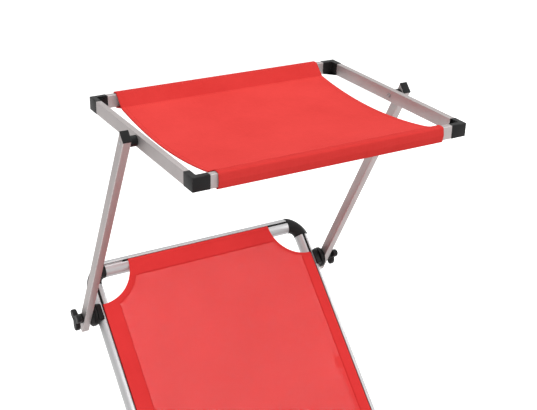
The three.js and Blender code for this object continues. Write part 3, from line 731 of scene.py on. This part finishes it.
def legShoe():
    # A clip round the lower part of the cross tube, with a notched level sole
    s = legSizes
    grip, top = s["radius"] + gap, s["shoeWrap"]
    lift = math.degrees(math.asin(top / grip))
    half, sole = s["shoeWide"] / 2, -s["radius"] - s["sole"]
    flat, low = half - s["shoeChamfer"], sole + s["shoeChamfer"]
    places = np.linspace(flat * 0.7, -flat * 0.7, s["notches"])
    notch = np.array([[0.5, 0], [0.3, 1], [-0.3, 1], [-0.5, 0]]) * [s["notchWide"], s["notchDeep"]]
    notches = (places[:, None, None] * [1, 0] + notch + [0, sole]).reshape(-1, 2)
    inner = arcOf((0, 0), grip, 180 - lift, 360 + lift, 30)
    corners = np.concatenate([[[half, top], [half, low], [flat, sole]], notches,
                              [[-flat, sole], [-half, low], [-half, top]], inner])
    radii = np.zeros(len(corners))
    last = len(notches) + 3  # the sole's other corner
    radii[[0, last + 2]] = 1.0
    radii[[1, 2, last, last + 1]] = s["shoeRound"]
    start = railX - s["bend"] - s["shoeInset"] - s["shoeLong"] / 2
    outline = roundedLine(corners, radii)
    return prism(outline, start, start + s["shoeLong"], s["rim"], "x", core=openCore)


def dressLeg(name, tilt, splay, folded, halfTurn):
    # The section's tilt carries the brackets, and the leg stands at its splay or lies folded
    joint = f"{name}_leg_fold"
    bracketAt = place(joint, tilt, halfTurn)
    angle = tilt + (folded or splay)
    legAt = place(joint, angle, halfTurn)
    standing = place("foot_leg_fold")["origin"][2]
    drop = (standing - legSizes["radius"] - legSizes["sole"]) / math.cos(math.radians(splay))
    dress(f"{name}_leg_tube", [legTube(drop)], legAt, "aluminium")
    dressPair(f"{name}_leg_bracket", legBracket(), bracketAt, "black_plastic")
    addPair(f"{name}_leg_bracket", "pin", bracketHeads(), bracketAt, "steel")
    dressPair(f"{name}_leg_shoe", [legShoe()], moved(legAt, (0, 0, -drop), angle - splay), "rubber")


dressLeg("foot", 0, tilts["footLeg"], 0, True)
dressLeg("middle", 0, tilts["middleLeg"], 0, False)
dressLeg("rear", recline, tilts["rearLeg"], tilts["rearFolded"], False)
print("legs dressed")

# Clamps on the backrest, the arms that they hold, and their knobs
clampSizes = {"long": 46, "tall": 40, "chamfer": 6, "wall": 5, "reach": 11, "round": 2.4, "barrel": 29,
              "discRadius": 25, "discThick": 9.5, "discRim": 2.5, "waist": 1.4, "waistWide": 1.2,
              "boltRadius": 3, "headRadius": 6, "headThick": 3}
armSizes = {"span": 579.6, "thick": 17, "wide": 22.5, "wall": 1.3, "round": 1.6, "tail": 43,
            "head": 14.2, "hollow": 30, "slope": 19, "capThick": 2.5, "capLip": 0.4, "capRound": 1.2}
knobSizes = {"lobes": 3, "tip": 27, "valley": 11, "thick": 11.5, "rim": 2.6, "hubRadius": 11,
             "hubLong": 8, "nutDeep": 4, "dishRadius": 7, "dishDeep": 1.2, "dishRise": 0.6}
clampFar = railX + railHalfWide + clampSizes["wall"]
armInside = clampFar + clampSizes["discThick"] + gap
armOutside = armInside + armSizes["thick"]
knobStart = armOutside + gap
knobFar = knobStart + knobSizes["hubLong"] + knobSizes["thick"]


def clampBlock():
    # A saddle round the tube's outer side, barrelled as sqrt(1 - (z / barrel)^2), and a waisted disc
    s = clampSizes
    near, far = railHalfWide - s["reach"], railHalfWide + s["wall"]
    half, bevel, radius = s["tall"] / 2, s["chamfer"], s["discRadius"]
    reach = math.degrees(math.acos(near / railFit[0]))
    outer = roundedLine(
        [[near, -half], [far - bevel, -half], [far, bevel - half],
         [far, half - bevel], [far - bevel, half], [near, half]], [1.2, 3, 3, 3, 3, 1.2], False)
    outline = np.concatenate([outer, arcOf((0, 0), railFit, reach, -reach, 30)])
    saddle = prism(outline, -s["long"] / 2, s["long"] / 2, s["round"], "y", (railX, 0, 0), openCore)
    saddle["points"][:, 1] *= np.sqrt(1 - (saddle["points"][:, 2] / s["barrel"]) ** 2)
    end = armInside - gap
    middle, low = (clampFar + end) / 2, radius - s["waist"]
    narrow, wide = s["waistWide"] / 2, s["waistWide"] / 2 + 0.9
    disc = turnedShell(
        [[clampFar - 2, 8], [clampFar - 2, radius - 1], [clampFar + 1, radius], [middle - wide, radius],
         [middle - narrow, low], [middle + narrow, low], [middle + wide, radius],
         [end - s["discRim"], radius], [end, radius - s["discRim"]], [end, 4]],
        64, [0, 0.5, 0.5, 0.4, 0.4, 0.4, 0.4, 1.0, 1.0, 0])
    return [saddle, disc]


def clampBolt():
    # A cylinder with a bevelled end and, on the rail's inner side, a domed head
    s = clampSizes
    radius = s["boltRadius"]
    start, end = railX - railHalfWide - gap, knobFar - knobSizes["nutDeep"] - gap
    shank = turnedShell([[start - 0.5, 1], [start - 0.5, radius], [end - 0.6, radius],
                         [end, radius - 0.6], [end, 1]], 20)
    return [domedHead(start, s["headRadius"], s["headThick"], -1), shank]


def armEnd(y, above=0.0):
    # Height of the arm's slanting end, or of a plane above it
    return armSizes["span"] + armSizes["head"] + y * math.tan(math.radians(armSizes["slope"])) + above


def armTube():
    # A box tube, open below: from a floor inside it down to the rim, and up outside to the slanting end
    s = armSizes
    along, inset = rimStations(-s["tail"], armEnd(0) - 0.2, 0.5)
    along[0], inset[0] = 0.2 - s["tail"], s["wall"]
    along = np.concatenate([[s["hollow"] - s["tail"]], along])
    inset = np.concatenate([[s["wall"]], inset])
    centres = along[:, None] * [0, 0, 1] + [armInside + s["thick"] / 2, 0, 0]
    shell = carried(boxOf(s["thick"], s["wide"], s["round"]), centres, [1, 0, 0], [0, 1, 0], inset)
    isTop = shell["points"][:, 2:] > s["span"]
    lean = shell["points"][:, 1:2] * math.tan(math.radians(s["slope"])) * [0, 0, 1]
    return {**shell, "points": shell["points"] + isTop * lean}


def armCap():
    # A slab between two slanting planes, rounded above, straight across the arm
    s = armSizes
    half, low, high = s["wide"] / 2 + s["capLip"], gap / 2, gap + s["capThick"]
    corners = [[way * half, armEnd(way * half, above)]
               for way, above in ((-1, low), (1, low), (1, high), (-1, high))]
    lid = roundedLine(corners, [0.3, 0.3, s["capRound"], s["capRound"]])
    return prism(lid, armInside - s["capLip"], armOutside + s["capLip"], 0.9, "x")


def knobShells():
    # Lobes: the radius swings between valley and tip as cos(lobes * angle), with one lobe down
    s = knobSizes
    angle = np.linspace(0, 2 * np.pi, 96, endpoint=False)
    radius = (s["tip"] + s["valley"]) / 2 + (s["tip"] - s["valley"]) / 2 * np.cos(s["lobes"] * angle)
    lobes = np.stack([radius * np.sin(angle), -radius * np.cos(angle)], 1)
    lobeStart, face, dish = knobStart + s["hubLong"], knobFar + s["dishRise"], s["dishRadius"]
    hub = turnedRod(knobStart, lobeStart + 2, s["hubRadius"], 3, 40, [0, 1.2, 0, 0])
    button = turnedShell(
        [[knobFar - 2, 2], [knobFar - 2, dish], [face, dish], [face, dish - 1.4],
         [face - s["dishDeep"], dish - 2], [face - s["dishDeep"], 1]], 32, [0, 0, 0.6, 0.4, 0.3, 0])
    return [hub, prism(lobes, lobeStart, knobFar, s["rim"], "x"), button]


dressPair("clamp_block", clampBlock(), clampAt, "black_plastic")
dressPair("clamp_bolt", clampBolt(), clampAt, "steel")
dressPair("arm", [armTube()], armAt, "box_aluminium_pink_reflection")
dressPair("arm_cap", [armCap()], armAt, "black_plastic")
dressPair("knob", knobShells(), knobAt, "black_plastic")
print("arms dressed")

# Canopy frame: box tubes, square corners, and the pivots on the arms
canopySizes = {"depth": 467, "tall": 26.5, "thick": 12, "round": 1.2, "elbow": 34, "proud": 0.4,
               "elbowRim": 1.3, "spacer": 14.7, "spacerRadius": 10.5, "nutRadius": 4.4, "nutThick": 2,
               "headRadius": 3.4, "headThick": 1.2, "pinRadius": 2.8, "rivetIn": 12, "rivetRadius": 1.7}
halfWide = armInside - 2 * gap - canopySizes["spacer"]
halfDeep = canopySizes["depth"] / 2
tubeX, tubeY = halfWide - canopySizes["thick"] / 2, halfDeep - canopySizes["thick"] / 2


def canopyTube(reach, axis, centre):
    # It ends short of the elbows at both corners
    s = canopySizes
    half = reach - s["elbow"] - gap
    return prism(boxOf(s["thick"], s["tall"], s["round"]), -half, half, 0.4, axis, centre)


def canopyElbow():
    # An L about the corner of the frame, straight up
    s = canopySizes
    (x, inX, startX), (y, inY, startY) = [
        (half + s["proud"], half - s["thick"] - s["proud"], half - s["elbow"])
        for half in (halfWide, halfDeep)]
    outline = roundedLine([[startX, inY], [inX, inY], [inX, startY], [x, startY], [x, y], [startX, y]],
                          [0.4, 1.0, 0.4, 0.4, 1.6, 0.4])
    high = s["tall"] / 2 + s["proud"]
    return prism(outline, -high, high, s["elbowRim"], "z")


def pivotShells():
    # A shouldered nut on the side tube's inner face, a plain pin, and a domed head outside the arm
    s = canopySizes
    nutEnd = halfWide - s["thick"] - gap
    start, nutRadius, pinRadius = nutEnd - s["nutThick"], s["nutRadius"], s["pinRadius"]
    nut = turnedShell(
        [[nutEnd, 2], [nutEnd, nutRadius], [start, nutRadius], [start, pinRadius],
         [start + 1.2, pinRadius - 0.4], [start + 1.2, 0.5]], 32, [0, 0.2, 0.7, 0.3, 0.2, 0])
    pin = turnedRod(start + 1, armOutside + 0.6, pinRadius, 1, 20)
    return [nut, pin, domedHead(armOutside + gap, s["headRadius"], s["headThick"])]


def spacerShell():
    # A ring between the side tube and the arm, with rounded edges
    radius = canopySizes["spacerRadius"]
    return turnedRod(halfWide + gap, armInside - gap, radius, 4, 48, [0, 1.2, 1.2, 0])


def topRivets():
    # Small rivets that hold the corners' spigots, on top of the side tubes
    s = canopySizes
    y = halfDeep - s["elbow"] - s["rivetIn"]
    head = domedHead(0, s["rivetRadius"], 0.6, 1, 12)
    upright = head["points"] @ np.array([[0, 0, 1.0], [0, 1, 0], [-1, 0, 0]])
    return [{**head, "points": upright + [tubeX, side * y, s["tall"] / 2]} for side in (-1, 1)]


dressPair("canopy_side", [canopyTube(halfDeep, "y", (tubeX, 0, 0))], canopyAt, "box_aluminium_pink_reflection")
corner = canopyElbow()
for end, way in (("rear", 1), ("front", -1)):
    crossTube = canopyTube(halfWide, "x", (0, way * tubeY, 0))
    dress(f"canopy_{end}_rail", [crossTube], canopyAt, "box_aluminium_pink_reflection")
    turnedCorner = {**corner, "points": corner["points"] * [1, way, 1]}
    dressPair(f"canopy_{end}_elbow", [turnedCorner], canopyAt, "black_plastic")
dressPair("canopy_pivot", pivotShells(), canopyAt, "steel")
addPair("canopy_pivot", "spacer", [spacerShell()], canopyAt, "black_plastic")
addPair("canopy_side", "rivets", topRivets(), canopyAt, "steel")
print("canopy frame dressed")


# Cloth: sheets worked out in flat coordinates, then laid over the frame

def makeSheet(name, points, flat, at, finish, thick):
    # points[i, j] lie at flat[i, j], the weave's map. A cell's area is |(b - a) x (c - a)|
    quads = gridQuads(*points.shape[:2], False)
    placed = inPart(points.reshape(-1, 3), at)
    a, b, c = [placed[quads[:, k]] for k in range(3)]
    mesh = bpy.data.meshes.new(name)
    mesh.from_pydata(placed.tolist(), [], quads.tolist())
    corners = flat.reshape(-1, 2)[quads] * toMetres
    mesh.uv_layers.new(name="weave").data.foreach_set("uv", corners.ravel())
    piece = makePiece(name, mesh, finish, None)
    solid = piece.modifiers.new("thickness", "SOLIDIFY")
    solid.thickness, solid.offset = thick * toMetres, 0
    return piece, float(np.linalg.norm(np.cross(b - a, c - a), axis=1).sum())


def evenly(line, spacing):
    # Places at equal steps along a line of points, with the direction there
    along = lengthsOf(line)
    count = max(2, int(along[-1] / spacing))
    spots = (np.arange(count) + 0.5) * along[-1] / count
    middle, after, before = [
        np.stack([np.interp(spots + step, along, line[:, k]) for k in range(line.shape[1])], 1)
        for step in (0, 0.3, -0.3)]
    return middle, (after - before) / np.linalg.norm(after - before, axis=1, keepdims=True)


stitchSizes = {"spacing": 4.2, "long": 3.3, "wide": 0.75, "thick": 0.5}


def stitchMesh(name, centres, along, normals, at):
    # Every stitch is one small spindle: rings of four points, a quarter as wide at the ends
    s = stitchSizes
    across = np.cross(normals, along)
    share = np.array([-0.5, -0.32, 0.32, 0.5])[:, None, None] * s["long"]
    swell = np.array([0.25, 1.0, 1.0, 0.25])[:, None] / 2
    wide, thick = [(swell * ring)[..., None] for ring in (
        np.array([1, 0, -1, 0]) * s["wide"], np.array([0, 1, 0, -1]) * s["thick"])]
    centres, ahead, aside, above = [each[:, None, None] for each in (centres, along, across, normals)]
    points = centres + ahead * share + aside * wide + above * thick
    each = np.concatenate([gridQuads(4, 4), [[3, 2, 1, 0]], [[12, 13, 14, 15]]])
    quads = (each[None] + 16 * np.arange(len(centres))[:, None, None]).reshape(-1, 4)
    if np.linalg.det(np.stack([along[0], across[0], normals[0]])) * at["side"] < 0:
        quads = quads[:, ::-1]
    mesh = bpy.data.meshes.new(name)
    mesh.from_pydata(inPart(points.reshape(-1, 3), at).tolist(), [], quads.tolist())
    mesh.uv_layers.new(name="along")
    return mesh


def sewSeams(name, seams, lay, lift, at):
    # Stitches along flat lines, on the side of the laid cloth that the lift points to
    sewn = [evenly(seam, stitchSizes["spacing"]) for seam in seams]
    spots, ways = [np.concatenate(each) for each in zip(*sewn)]
    here, there = lay(spots, lift), lay(spots + 0.5 * ways, lift)
    along = (there - here) / np.linalg.norm(there - here, axis=1, keepdims=True)
    mesh = stitchMesh(name, here, along, lay(spots, lift + 1) - here, at)
    return makePiece(name, mesh, "red_thread", None)


clothSizes = {"thick": 0.35, "lift": 0.8, "cut": 90, "hingeCut": 75, "leftCutHem": 16, "rightCutHem": 7,
              "leftHem": 40, "rightHem": 28, "outerSeam": 41, "seamEnds": 16, "seamIn": 2.2,
              "endHem": 42, "tuck": 5, "tuckRound": 1.6, "sag": 4.5, "sagFade": 170, "split": 30,
              "ripple": 0.25, "rippleLong": 31, "rippleWide": 90, "rippleFade": 40, "hemAbove": 0.4,
              "over": 0.8, "bulge": 1.5, "bulgeWide": 9}


def tucked(distance):
    # Past the groove's middle the cloth turns down a quarter round and runs straight into the groove
    r = clothSizes["tuckRound"]
    angle = np.clip(distance / r + 1, 0, np.pi / 2)
    beyond = np.maximum(distance - r * (np.pi / 2 - 1), 0)
    out = np.where(distance < -r, distance, r * (np.sin(angle) - 1))
    return out, -(r * (1 - np.cos(angle)) + beyond) * (distance > -r)


def layCloth(flat, lift, length, hasEnd, bendAngle):
    # Flat places to a section's place: tucks at the grooves, the end tube's oval, the sag and the
    # hinge's bend, with a ripple of sin(y / rippleLong + 1.3 sin(x / rippleWide))
    s = clothSizes
    x, y = flat[..., 0], flat[..., 1]
    side, dropX = tucked(np.abs(x) - railX)
    over, shift = s["over"] * hasEnd, railSizes["endShift"]
    end, dropY = tucked(y - length - over) if hasEnd else (y - length, 0 * y)
    past = np.clip(y - length + shift, 0, shift + over) * hasEnd
    dropY = dropY - railHalfTall * (1 - np.sqrt(1 - (past / railHalfWide) ** 2))
    dropY = dropY + s["bulge"] * hasEnd * np.exp(-((y - length) / s["bulgeWide"]) ** 2)
    fade = smooth((length - y) / s["sagFade"]) if hasEnd else 1.0
    sag = s["sag"] * np.clip(1 - (x / (railX - 4)) ** 2, 0, 1) * fade
    joined = np.minimum(np.abs(np.abs(y) - s["split"]), np.abs(np.abs(length - y) - s["split"]))
    ripple = np.sin(y / s["rippleLong"] + 1.3 * np.sin(x / s["rippleWide"])) * s["ripple"] * fade
    ripple = ripple * np.clip(1 - np.abs(x) / railX, 0, 1) * smooth(joined / s["rippleFade"])
    height = faceZ + s["lift"] + lift + dropX + dropY - sag + ripple
    along = length + over + end
    angle = math.radians(bendAngle) * smooth((y + s["split"]) / (2 * s["split"]))
    cos, sin = np.cos(angle), np.sin(angle)
    return np.stack([np.sign(x) * (railX + side),
                     along * cos - height * sin, along * sin + height * cos], -1)


def startAndCut(hasEnd):
    # A cloth with a free end starts before its hinge and has larger cuts at that end
    s = clothSizes
    return (-s["split"], s["cut"]) if hasEnd else (s["split"], s["hingeCut"])


def cutRows(length, hasEnd):
    # Rows of the sheet and their half widths: round cuts beside each hinge and at a free end's corners
    s = clothSizes
    wide, r = railX + s["tuck"], s["hingeCut"]
    start, size = startAndCut(hasEnd)
    stop = math.degrees(math.acos(start / r))
    low = arcOf((0, 0), r, 0, stop, 34)[::-1] * [1, -1]
    rows = [low + [0, railX], np.linspace((r + 0.3, wide), (length - size - 0.3, wide), 60),
            [length, railX] - arcOf((0, 0), size, 0, 90 if hasEnd else stop, 26)]
    if hasEnd:
        rows.append(np.linspace((length + 0.4, railX - size), (length + s["tuck"], railX - size), 9))
    return np.concatenate(rows)


def hemLines(length, hasEnd, sideHem, hem):
    # The sheet's edge and the hem's inner line, side by side, from the hinge to the middle of the end
    s = clothSizes
    edge, inside, r = railX + s["tuck"], railX - sideHem, s["hingeCut"]
    start, size = startAndCut(hasEnd)
    hemEnd = length - s["endHem"]
    stops = [math.acos(start / radius) for radius in (r, r + hem)]
    outer, inner = [], []

    def addArcs(centreY, wayY, size, begin, finish):
        # From and to an angle for each of the two lines
        for lines, radius, low, high in zip((outer, inner), (size, size + hem), begin, finish):
            a = np.linspace(low, high, 31)
            lines.append(np.stack([railX - radius * np.sin(a), centreY + wayY * radius * np.cos(a)], 1))

    def addLines(outerEnds, innerEnds, count, first=0):
        outer.append(np.linspace(*outerEnds, count)[first:])
        inner.append(np.linspace(*innerEnds, count)[first:])

    addArcs(0, 1, r, stops, (0, 0))
    addLines([(edge, r + 0.3), (edge, length - size - 0.3)],
             [(inside, r + hem), (inside, length - size - hem)], 41)
    addArcs(length, -1, size, (0, 0), (np.pi / 2, np.pi / 2) if hasEnd else stops)
    if hasEnd:
        x, hemX, end = railX - size, railX - size - hem, length + s["tuck"]
        addLines([(x, length), (x, end)], [(hemX, hemEnd), (hemX, hemEnd)], 21, 1)
        addLines([(x, end), (0, end)], [(hemX, hemEnd), (0, hemEnd)], 21, 1)
    limits = [inside, hemEnd if hasEnd else np.inf]
    return np.concatenate(outer), np.minimum(np.concatenate(inner), limits)


def dressCloth(title, stem, hasEnd, bendAngle, at, bodiesJoined):
    # Sheet, hems from the edge (0) to the inner line (1), and seams beside the inner line
    s, name, length = clothSizes, f"{title}_cloth", lounger[stem]

    def lay(places, lift):
        return layCloth(places, lift, length, hasEnd, bendAngle)

    rows = cutRows(length, hasEnd)
    share = np.concatenate([np.linspace(0, 0.95, 30), np.linspace(0.955, 1, 16)])  # closer at the tucks
    columns = np.concatenate([-share[:0:-1], share])
    flat = np.stack([rows[:, 1:] * columns, rows[:, :1] + 0 * columns], -1)
    sheet, area = makeSheet(f"{name}_sheet", lay(flat, 0), flat, at, "seat_mesh", s["thick"])
    steps = np.concatenate([np.linspace(0, 0.4, 14), np.linspace(0.5, 1, 6)])[:, None, None]
    bands, seams = [], []
    for side in (1, -1):
        which = sideName(at, side)
        outer, inner = hemLines(length, hasEnd, s[f"{which}Hem"], s[f"{which}CutHem"])
        bands.append((outer + (inner - outer) * steps) * [side, 1])
        way = outer - inner
        seam = inner + way / np.linalg.norm(way, axis=1, keepdims=True) * s["seamIn"]
        keep = np.concatenate([[True], np.linalg.norm(np.diff(seam, axis=0), axis=1) > 0.05])
        seams.append(seam[keep] * [side, 1])
        if which == "right":  # a second seam nearer to the middle
            x, low = side * (railX - s["outerSeam"]), s["hingeCut"] + s["seamEnds"]
            high = length - startAndCut(hasEnd)[1] - s["seamEnds"]
            seams.append(np.array([[x, low], [x, high]]))
    if hasEnd:  # both halves meet in the middle of the end and make one band
        bands = [np.concatenate([bands[0], bands[1][:, -2::-1]], axis=1)]
    hems = [makeSheet(f"{name}_hem_{number}", lay(band, s["hemAbove"]), band, at, "seat_hem",
                      s["thick"])[0] for number, band in enumerate(bands, 1)]
    thread = sewSeams(f"{name}_stitches", seams, lay, s["hemAbove"] + s["thick"] / 2, at)
    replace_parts(sheet, f"{stem}_cloth")
    blendEnd = inPart(lay(np.array([0, s["split"]]), 0), at)
    for piece in (sheet, *hems, thread):
        if len(bodiesJoined) == 1:
            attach(piece, bodiesJoined[0])
        else:
            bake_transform(piece)


kederSizes = {"radius": 2.4, "sunk": 3.5, "shown": 1.2, "inside": 12, "rise": 10, "stub": 12}


def kederCord(axis, crown, edge, end):
    # A cord in the groove, deep under the cloth, that rises at the cloth's edge as
    # smooth((t - edge) / rise + 1/2)
    s = kederSizes
    way = 1 if end > edge else -1
    low, high = sorted((edge - way * s["inside"], end))
    stations, inset = rimStations(low, high, s["radius"] * 0.7, 0.1)
    extra = np.linspace(low + 2, high - 2, 14)
    order = np.argsort(np.concatenate([stations, extra]), kind="stable")
    inset = np.concatenate([inset, 0 * extra])[order]
    stations = np.concatenate([stations, extra])[order]
    height = -s["sunk"] + (s["sunk"] - s["shown"]) * smooth(way * (stations - edge) / s["rise"] + 0.5)
    along, across, up = np.eye(3)[[axis, 1 - axis, 2]]
    centres = crown + stations[:, None] * along + height[:, None] * up
    return carried(ovalOf(2 * s["radius"], 2 * s["radius"], 16), centres, across, up, inset)


def sideKeders(*spans):
    # Cords straight along a side tube's groove, each from a cloth's edge to an end
    return [kederCord(1, (railX, 0, faceZ), edge, end) for edge, end in spans]


def dressKeders(name, length, at):
    s = clothSizes
    corner, cutX = railSizes["bend"] + railSizes["collar"], railX - s["cut"]
    sides = sideKeders((s["hingeCut"], hingeSizes["reach"] + 1),
                       (length - s["cut"], length - railSizes["endShift"] - corner))
    addPair(f"{name}_rail", "keder", sides, at, "keder")
    mouth = faceZ - railHalfTall * (1 - math.sqrt(1 - (railSizes["endShift"] / railHalfWide) ** 2))
    ends = [kederCord(0, (0, length, mouth), at["side"] * edge, at["side"] * end)
            for edge, end in ((cutX, railX - corner), (-cutX, -cutX - kederSizes["stub"]))]
    title = f"{name}_end_keder"
    makePiece(title, meshOf(title, ends, at), "keder", bodyOf[f"{name}_end_rail"])


dressKeders("back", lounger["back"], backAt)
dressKeders("foot", lounger["foot"], footAt)
hingeCut, tubeStart, seatLong = clothSizes["hingeCut"], hingeSizes["reach"] + 1, lounger["seat"]
seatKeders = sideKeders((-hingeCut, -tubeStart), (hingeCut - seatLong, tubeStart - seatLong))
addPair("seat_rail", "keder", seatKeders, seatAt, "keder")

dressCloth("backrest", "back", True, recline, seatAt, ("seat", "backrest"))
dressCloth("foot_section", "foot", True, 0.0, footAt, ("seat", "foot"))
dressCloth("seat_section", "seat", False, 0.0, seatTurnedAt, ("seat",))
print("lying surface dressed")

canopyCloth = {"half": 242, "sag": 17.6, "frontReach": 38, "frontDrop": 11.5, "rearReach": 37,
               "rearDrop": 21, "clear": 1.5, "rearHigh": 1.3, "slide": -4.8, "frontLow": 2, "bulge": 2.6,
               "overlap": 2, "between": 1.15, "under": 60, "thick": 0.9, "hem": 12, "seamIn": 2.6,
               "pucker": 0.35, "puckerDeep": 16, "puckerLong": 7.3, "puckerWide": 41}


def canopyPath():
    # Under the front rail and round it, down by 4 sag s (1 - s), a parabola, and round the rear rail
    s, c = canopySizes, canopyCloth
    top, low = s["tall"] / 2 + c["clear"], -s["tall"] / 2 - c["clear"]
    out, near = halfDeep + c["clear"], halfDeep - s["thick"] - c["clear"] + 1
    front = np.array([c["frontReach"] - halfDeep, s["tall"] / 2 - c["frontDrop"]])
    rear = np.array([halfDeep - c["rearReach"], s["tall"] / 2 - c["rearDrop"]])
    share = np.linspace(0.05, 0.97, 60)[:, None]
    sagging = front + (rear - front) * share - [0, 4 * c["sag"]] * share * (1 - share)
    hanging, high = low - c["frontLow"], top + c["rearHigh"]
    under = [c["overlap"], -c["between"]]  # the cloth's ends lie under its top layer
    corners = [front + under, [-near, hanging], [-out, hanging], [-out - c["bulge"], -1], [-out, top],
               [-near, top], front, *sagging, rear, [near, high], [out, high], [out, low], [near, low],
               rear + under]
    radii = [0, 6, 5, 9, 4.2, 6, 80, *np.zeros(len(sagging)), 6, 3, 3, 3, 3, 0]
    return roundedLine(corners, radii, False), front, rear


canopyLine, frontSeam, rearSeam = canopyPath()
canopyLong = lengthsOf(canopyLine)


def nearestLong(place):
    # How far along the canopy's path its top layer passes a place
    under = canopyCloth["under"]
    isTop = (canopyLong > under) & (canopyLong < canopyLong[-1] - under)
    far = np.where(isTop, np.linalg.norm(canopyLine - place, axis=1), np.inf)
    return canopyLong[np.argmin(far)]


seamRows = [nearestLong(frontSeam), nearestLong(rearSeam)]


def layCanopy(flat, lift):
    # Across x and along the path, lifted along its normal, with faint puckers at the two seams. The
    # sheet is skewed: it slides aside by slide * share of the way forward
    c = canopyCloth
    x, t = flat[..., 0], flat[..., 1]
    (y, z), after, before = [
        np.stack([np.interp(t + step, canopyLong, canopyLine[:, k]) for k in (0, 1)])
        for step in (0, 0.5, -0.5)]
    aheadY, aheadZ = (after - before) / np.linalg.norm(after - before, axis=0)
    pucker = sum(np.exp(-((t - seam) / c["puckerDeep"]) ** 2) for seam in seamRows)
    wave = np.sin(x / c["puckerLong"] + 1.7 * np.sin(x / c["puckerWide"]))
    rise = lift + pucker * c["pucker"] * wave
    aside = c["slide"] * np.clip((halfDeep - y) / (2 * halfDeep), 0, 1)
    return np.stack([x + aside, y - rise * aheadZ, z + rise * aheadY], -1)


def dressCanopy():
    # Sheet with sleeves painted darker as shade, a hem down each side, and seams at hems and sleeves
    c = canopyCloth
    rows = np.unique(np.round(np.concatenate([canopyLong, np.arange(0, canopyLong[-1], 5)]), 3))
    columns = np.linspace(-c["half"], c["half"], 122)
    flat = np.stack(np.meshgrid(columns, rows), -1)
    look = canopyAt, "canopy_canvas", c["thick"]
    sheet, area = makeSheet("canopy_sheet", layCanopy(flat, 0), flat, *look)
    isSleeve = (rows[:-1] < seamRows[0]) | (rows[:-1] >= seamRows[1])  # double cloth round the tubes
    # The sleeve faces take the darker copy of the canvas: painted shade on the front roll and the rear
    # band
    sheet.data.materials.append(finishes["canopy_sleeve_painted_shade"])
    materialOf = np.repeat(isSleeve.astype(np.int32), len(columns) - 1)
    sheet.data.polygons.foreach_set("material_index", materialOf)
    hemRows = np.arange(*seamRows, 4)
    hems, seams = [], []
    for side, which in ((1, "right"), (-1, "left")):
        across = side * (c["half"] - np.linspace(0, c["hem"], 5))
        band = np.stack(np.meshgrid(across, hemRows), -1)
        laid = layCanopy(band, -c["thick"] - 0.05)
        hems.append(makeSheet(f"canopy_hem_{which}", laid, band, *look)[0])
        seams.append(np.stack([0 * hemRows + side * (c["half"] - c["hem"] + c["seamIn"]), hemRows], 1))
    for row in seamRows:
        x = np.linspace(3 - c["half"], c["half"] - 3, 200)
        seams.append(np.stack([x, 0 * x + row - c["seamIn"]], 1))
    thread = sewSeams("canopy_stitches", seams, layCanopy, c["thick"] / 2, canopyAt)
    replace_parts(sheet, "canopy_cloth")
    for piece in (sheet, *hems, thread):
        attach(piece, "canopy")


dressCanopy()
print("canopy dressed")

# Lamps, world and floor
lampSizes = {
    "key": {"at": (-2.2, -3.2, 4.0), "aim": (0, 0, 0.6), "size": 3.2, "power": 90},
    "fill": {"at": (3.4, -2.2, 3.0), "aim": (0, 0, 0.6), "size": 3.0, "power": 55},
    "top": {"at": (0.3, 0.9, 5.4), "aim": (0, 0.3, 0.7), "size": 3.6, "power": 70},
    "side": {"at": (4.0, 2.0, 1.2), "aim": (0, 0.6, 0.7), "size": 2.0, "power": 45},
}
for lampName, lamp in lampSizes.items():
    lampData = bpy.data.lights.new(lampName, "AREA")
    lampData.shape = "DISK"
    lampData.size = lamp["size"]
    lampData.energy = lamp["power"]
    lampObject = newObject(lampName, lampData)
    lampObject.location = lamp["at"]
    aim = Vector(lamp["aim"]) - Vector(lamp["at"])
    lampObject.rotation_euler = aim.to_track_quat("-Z", "Y").to_euler()


def backdropRays(tree):
    # One for rays from the camera, from glossy surfaces and through glass
    rays = newNode(tree, "LightPath")
    shown = mathNode(tree, "MAXIMUM", rays["Is Camera Ray"], rays["Is Glossy Ray"])
    return mathNode(tree, "MAXIMUM", shown, rays["Is Transmission Ray"])


skySizes = {"ambient": 0.5, "floorGlow": 0.78, "floorSize": 60.0, "floorColour": 0.72}
world = bpy.data.worlds.new("studio")
world.use_nodes = True
bpy.context.scene.world = world
worldTree, ambient = world.node_tree, skySizes["ambient"]
skyStrength = mathNode(worldTree, "MULTIPLY_ADD", backdropRays(worldTree), 1 - ambient, ambient)
feed(worldTree, worldTree.nodes["Background"].inputs, {"Color": (1, 1, 1, 1), "Strength": skyStrength})


def makeFloor():
    material = bpy.data.materials.new("pale_floor")
    material.use_nodes = True
    tree, grey = material.node_tree, skySizes["floorColour"]
    feed(tree, tree.nodes["Principled BSDF"].inputs, {
        "Base Color": (grey, grey, grey, 1), "Roughness": 0.9, "Specular IOR Level": 0.0,
        "Emission Color": (1, 1, 1, 1),
        "Emission Strength": mathNode(tree, "MULTIPLY", backdropRays(tree), skySizes["floorGlow"])})
    half = skySizes["floorSize"] / 2
    corners = [(-half, -half, 0), (half, -half, 0), (half, half, 0), (-half, half, 0)]
    mesh = bpy.data.meshes.new("floor")
    mesh.from_pydata(corners, [], [(0, 1, 2, 3)])
    mesh.materials.append(material)
    newObject("floor", mesh)


makeFloor()
bpy.context.scene.view_settings.view_transform = "Standard"
print("studio ready")
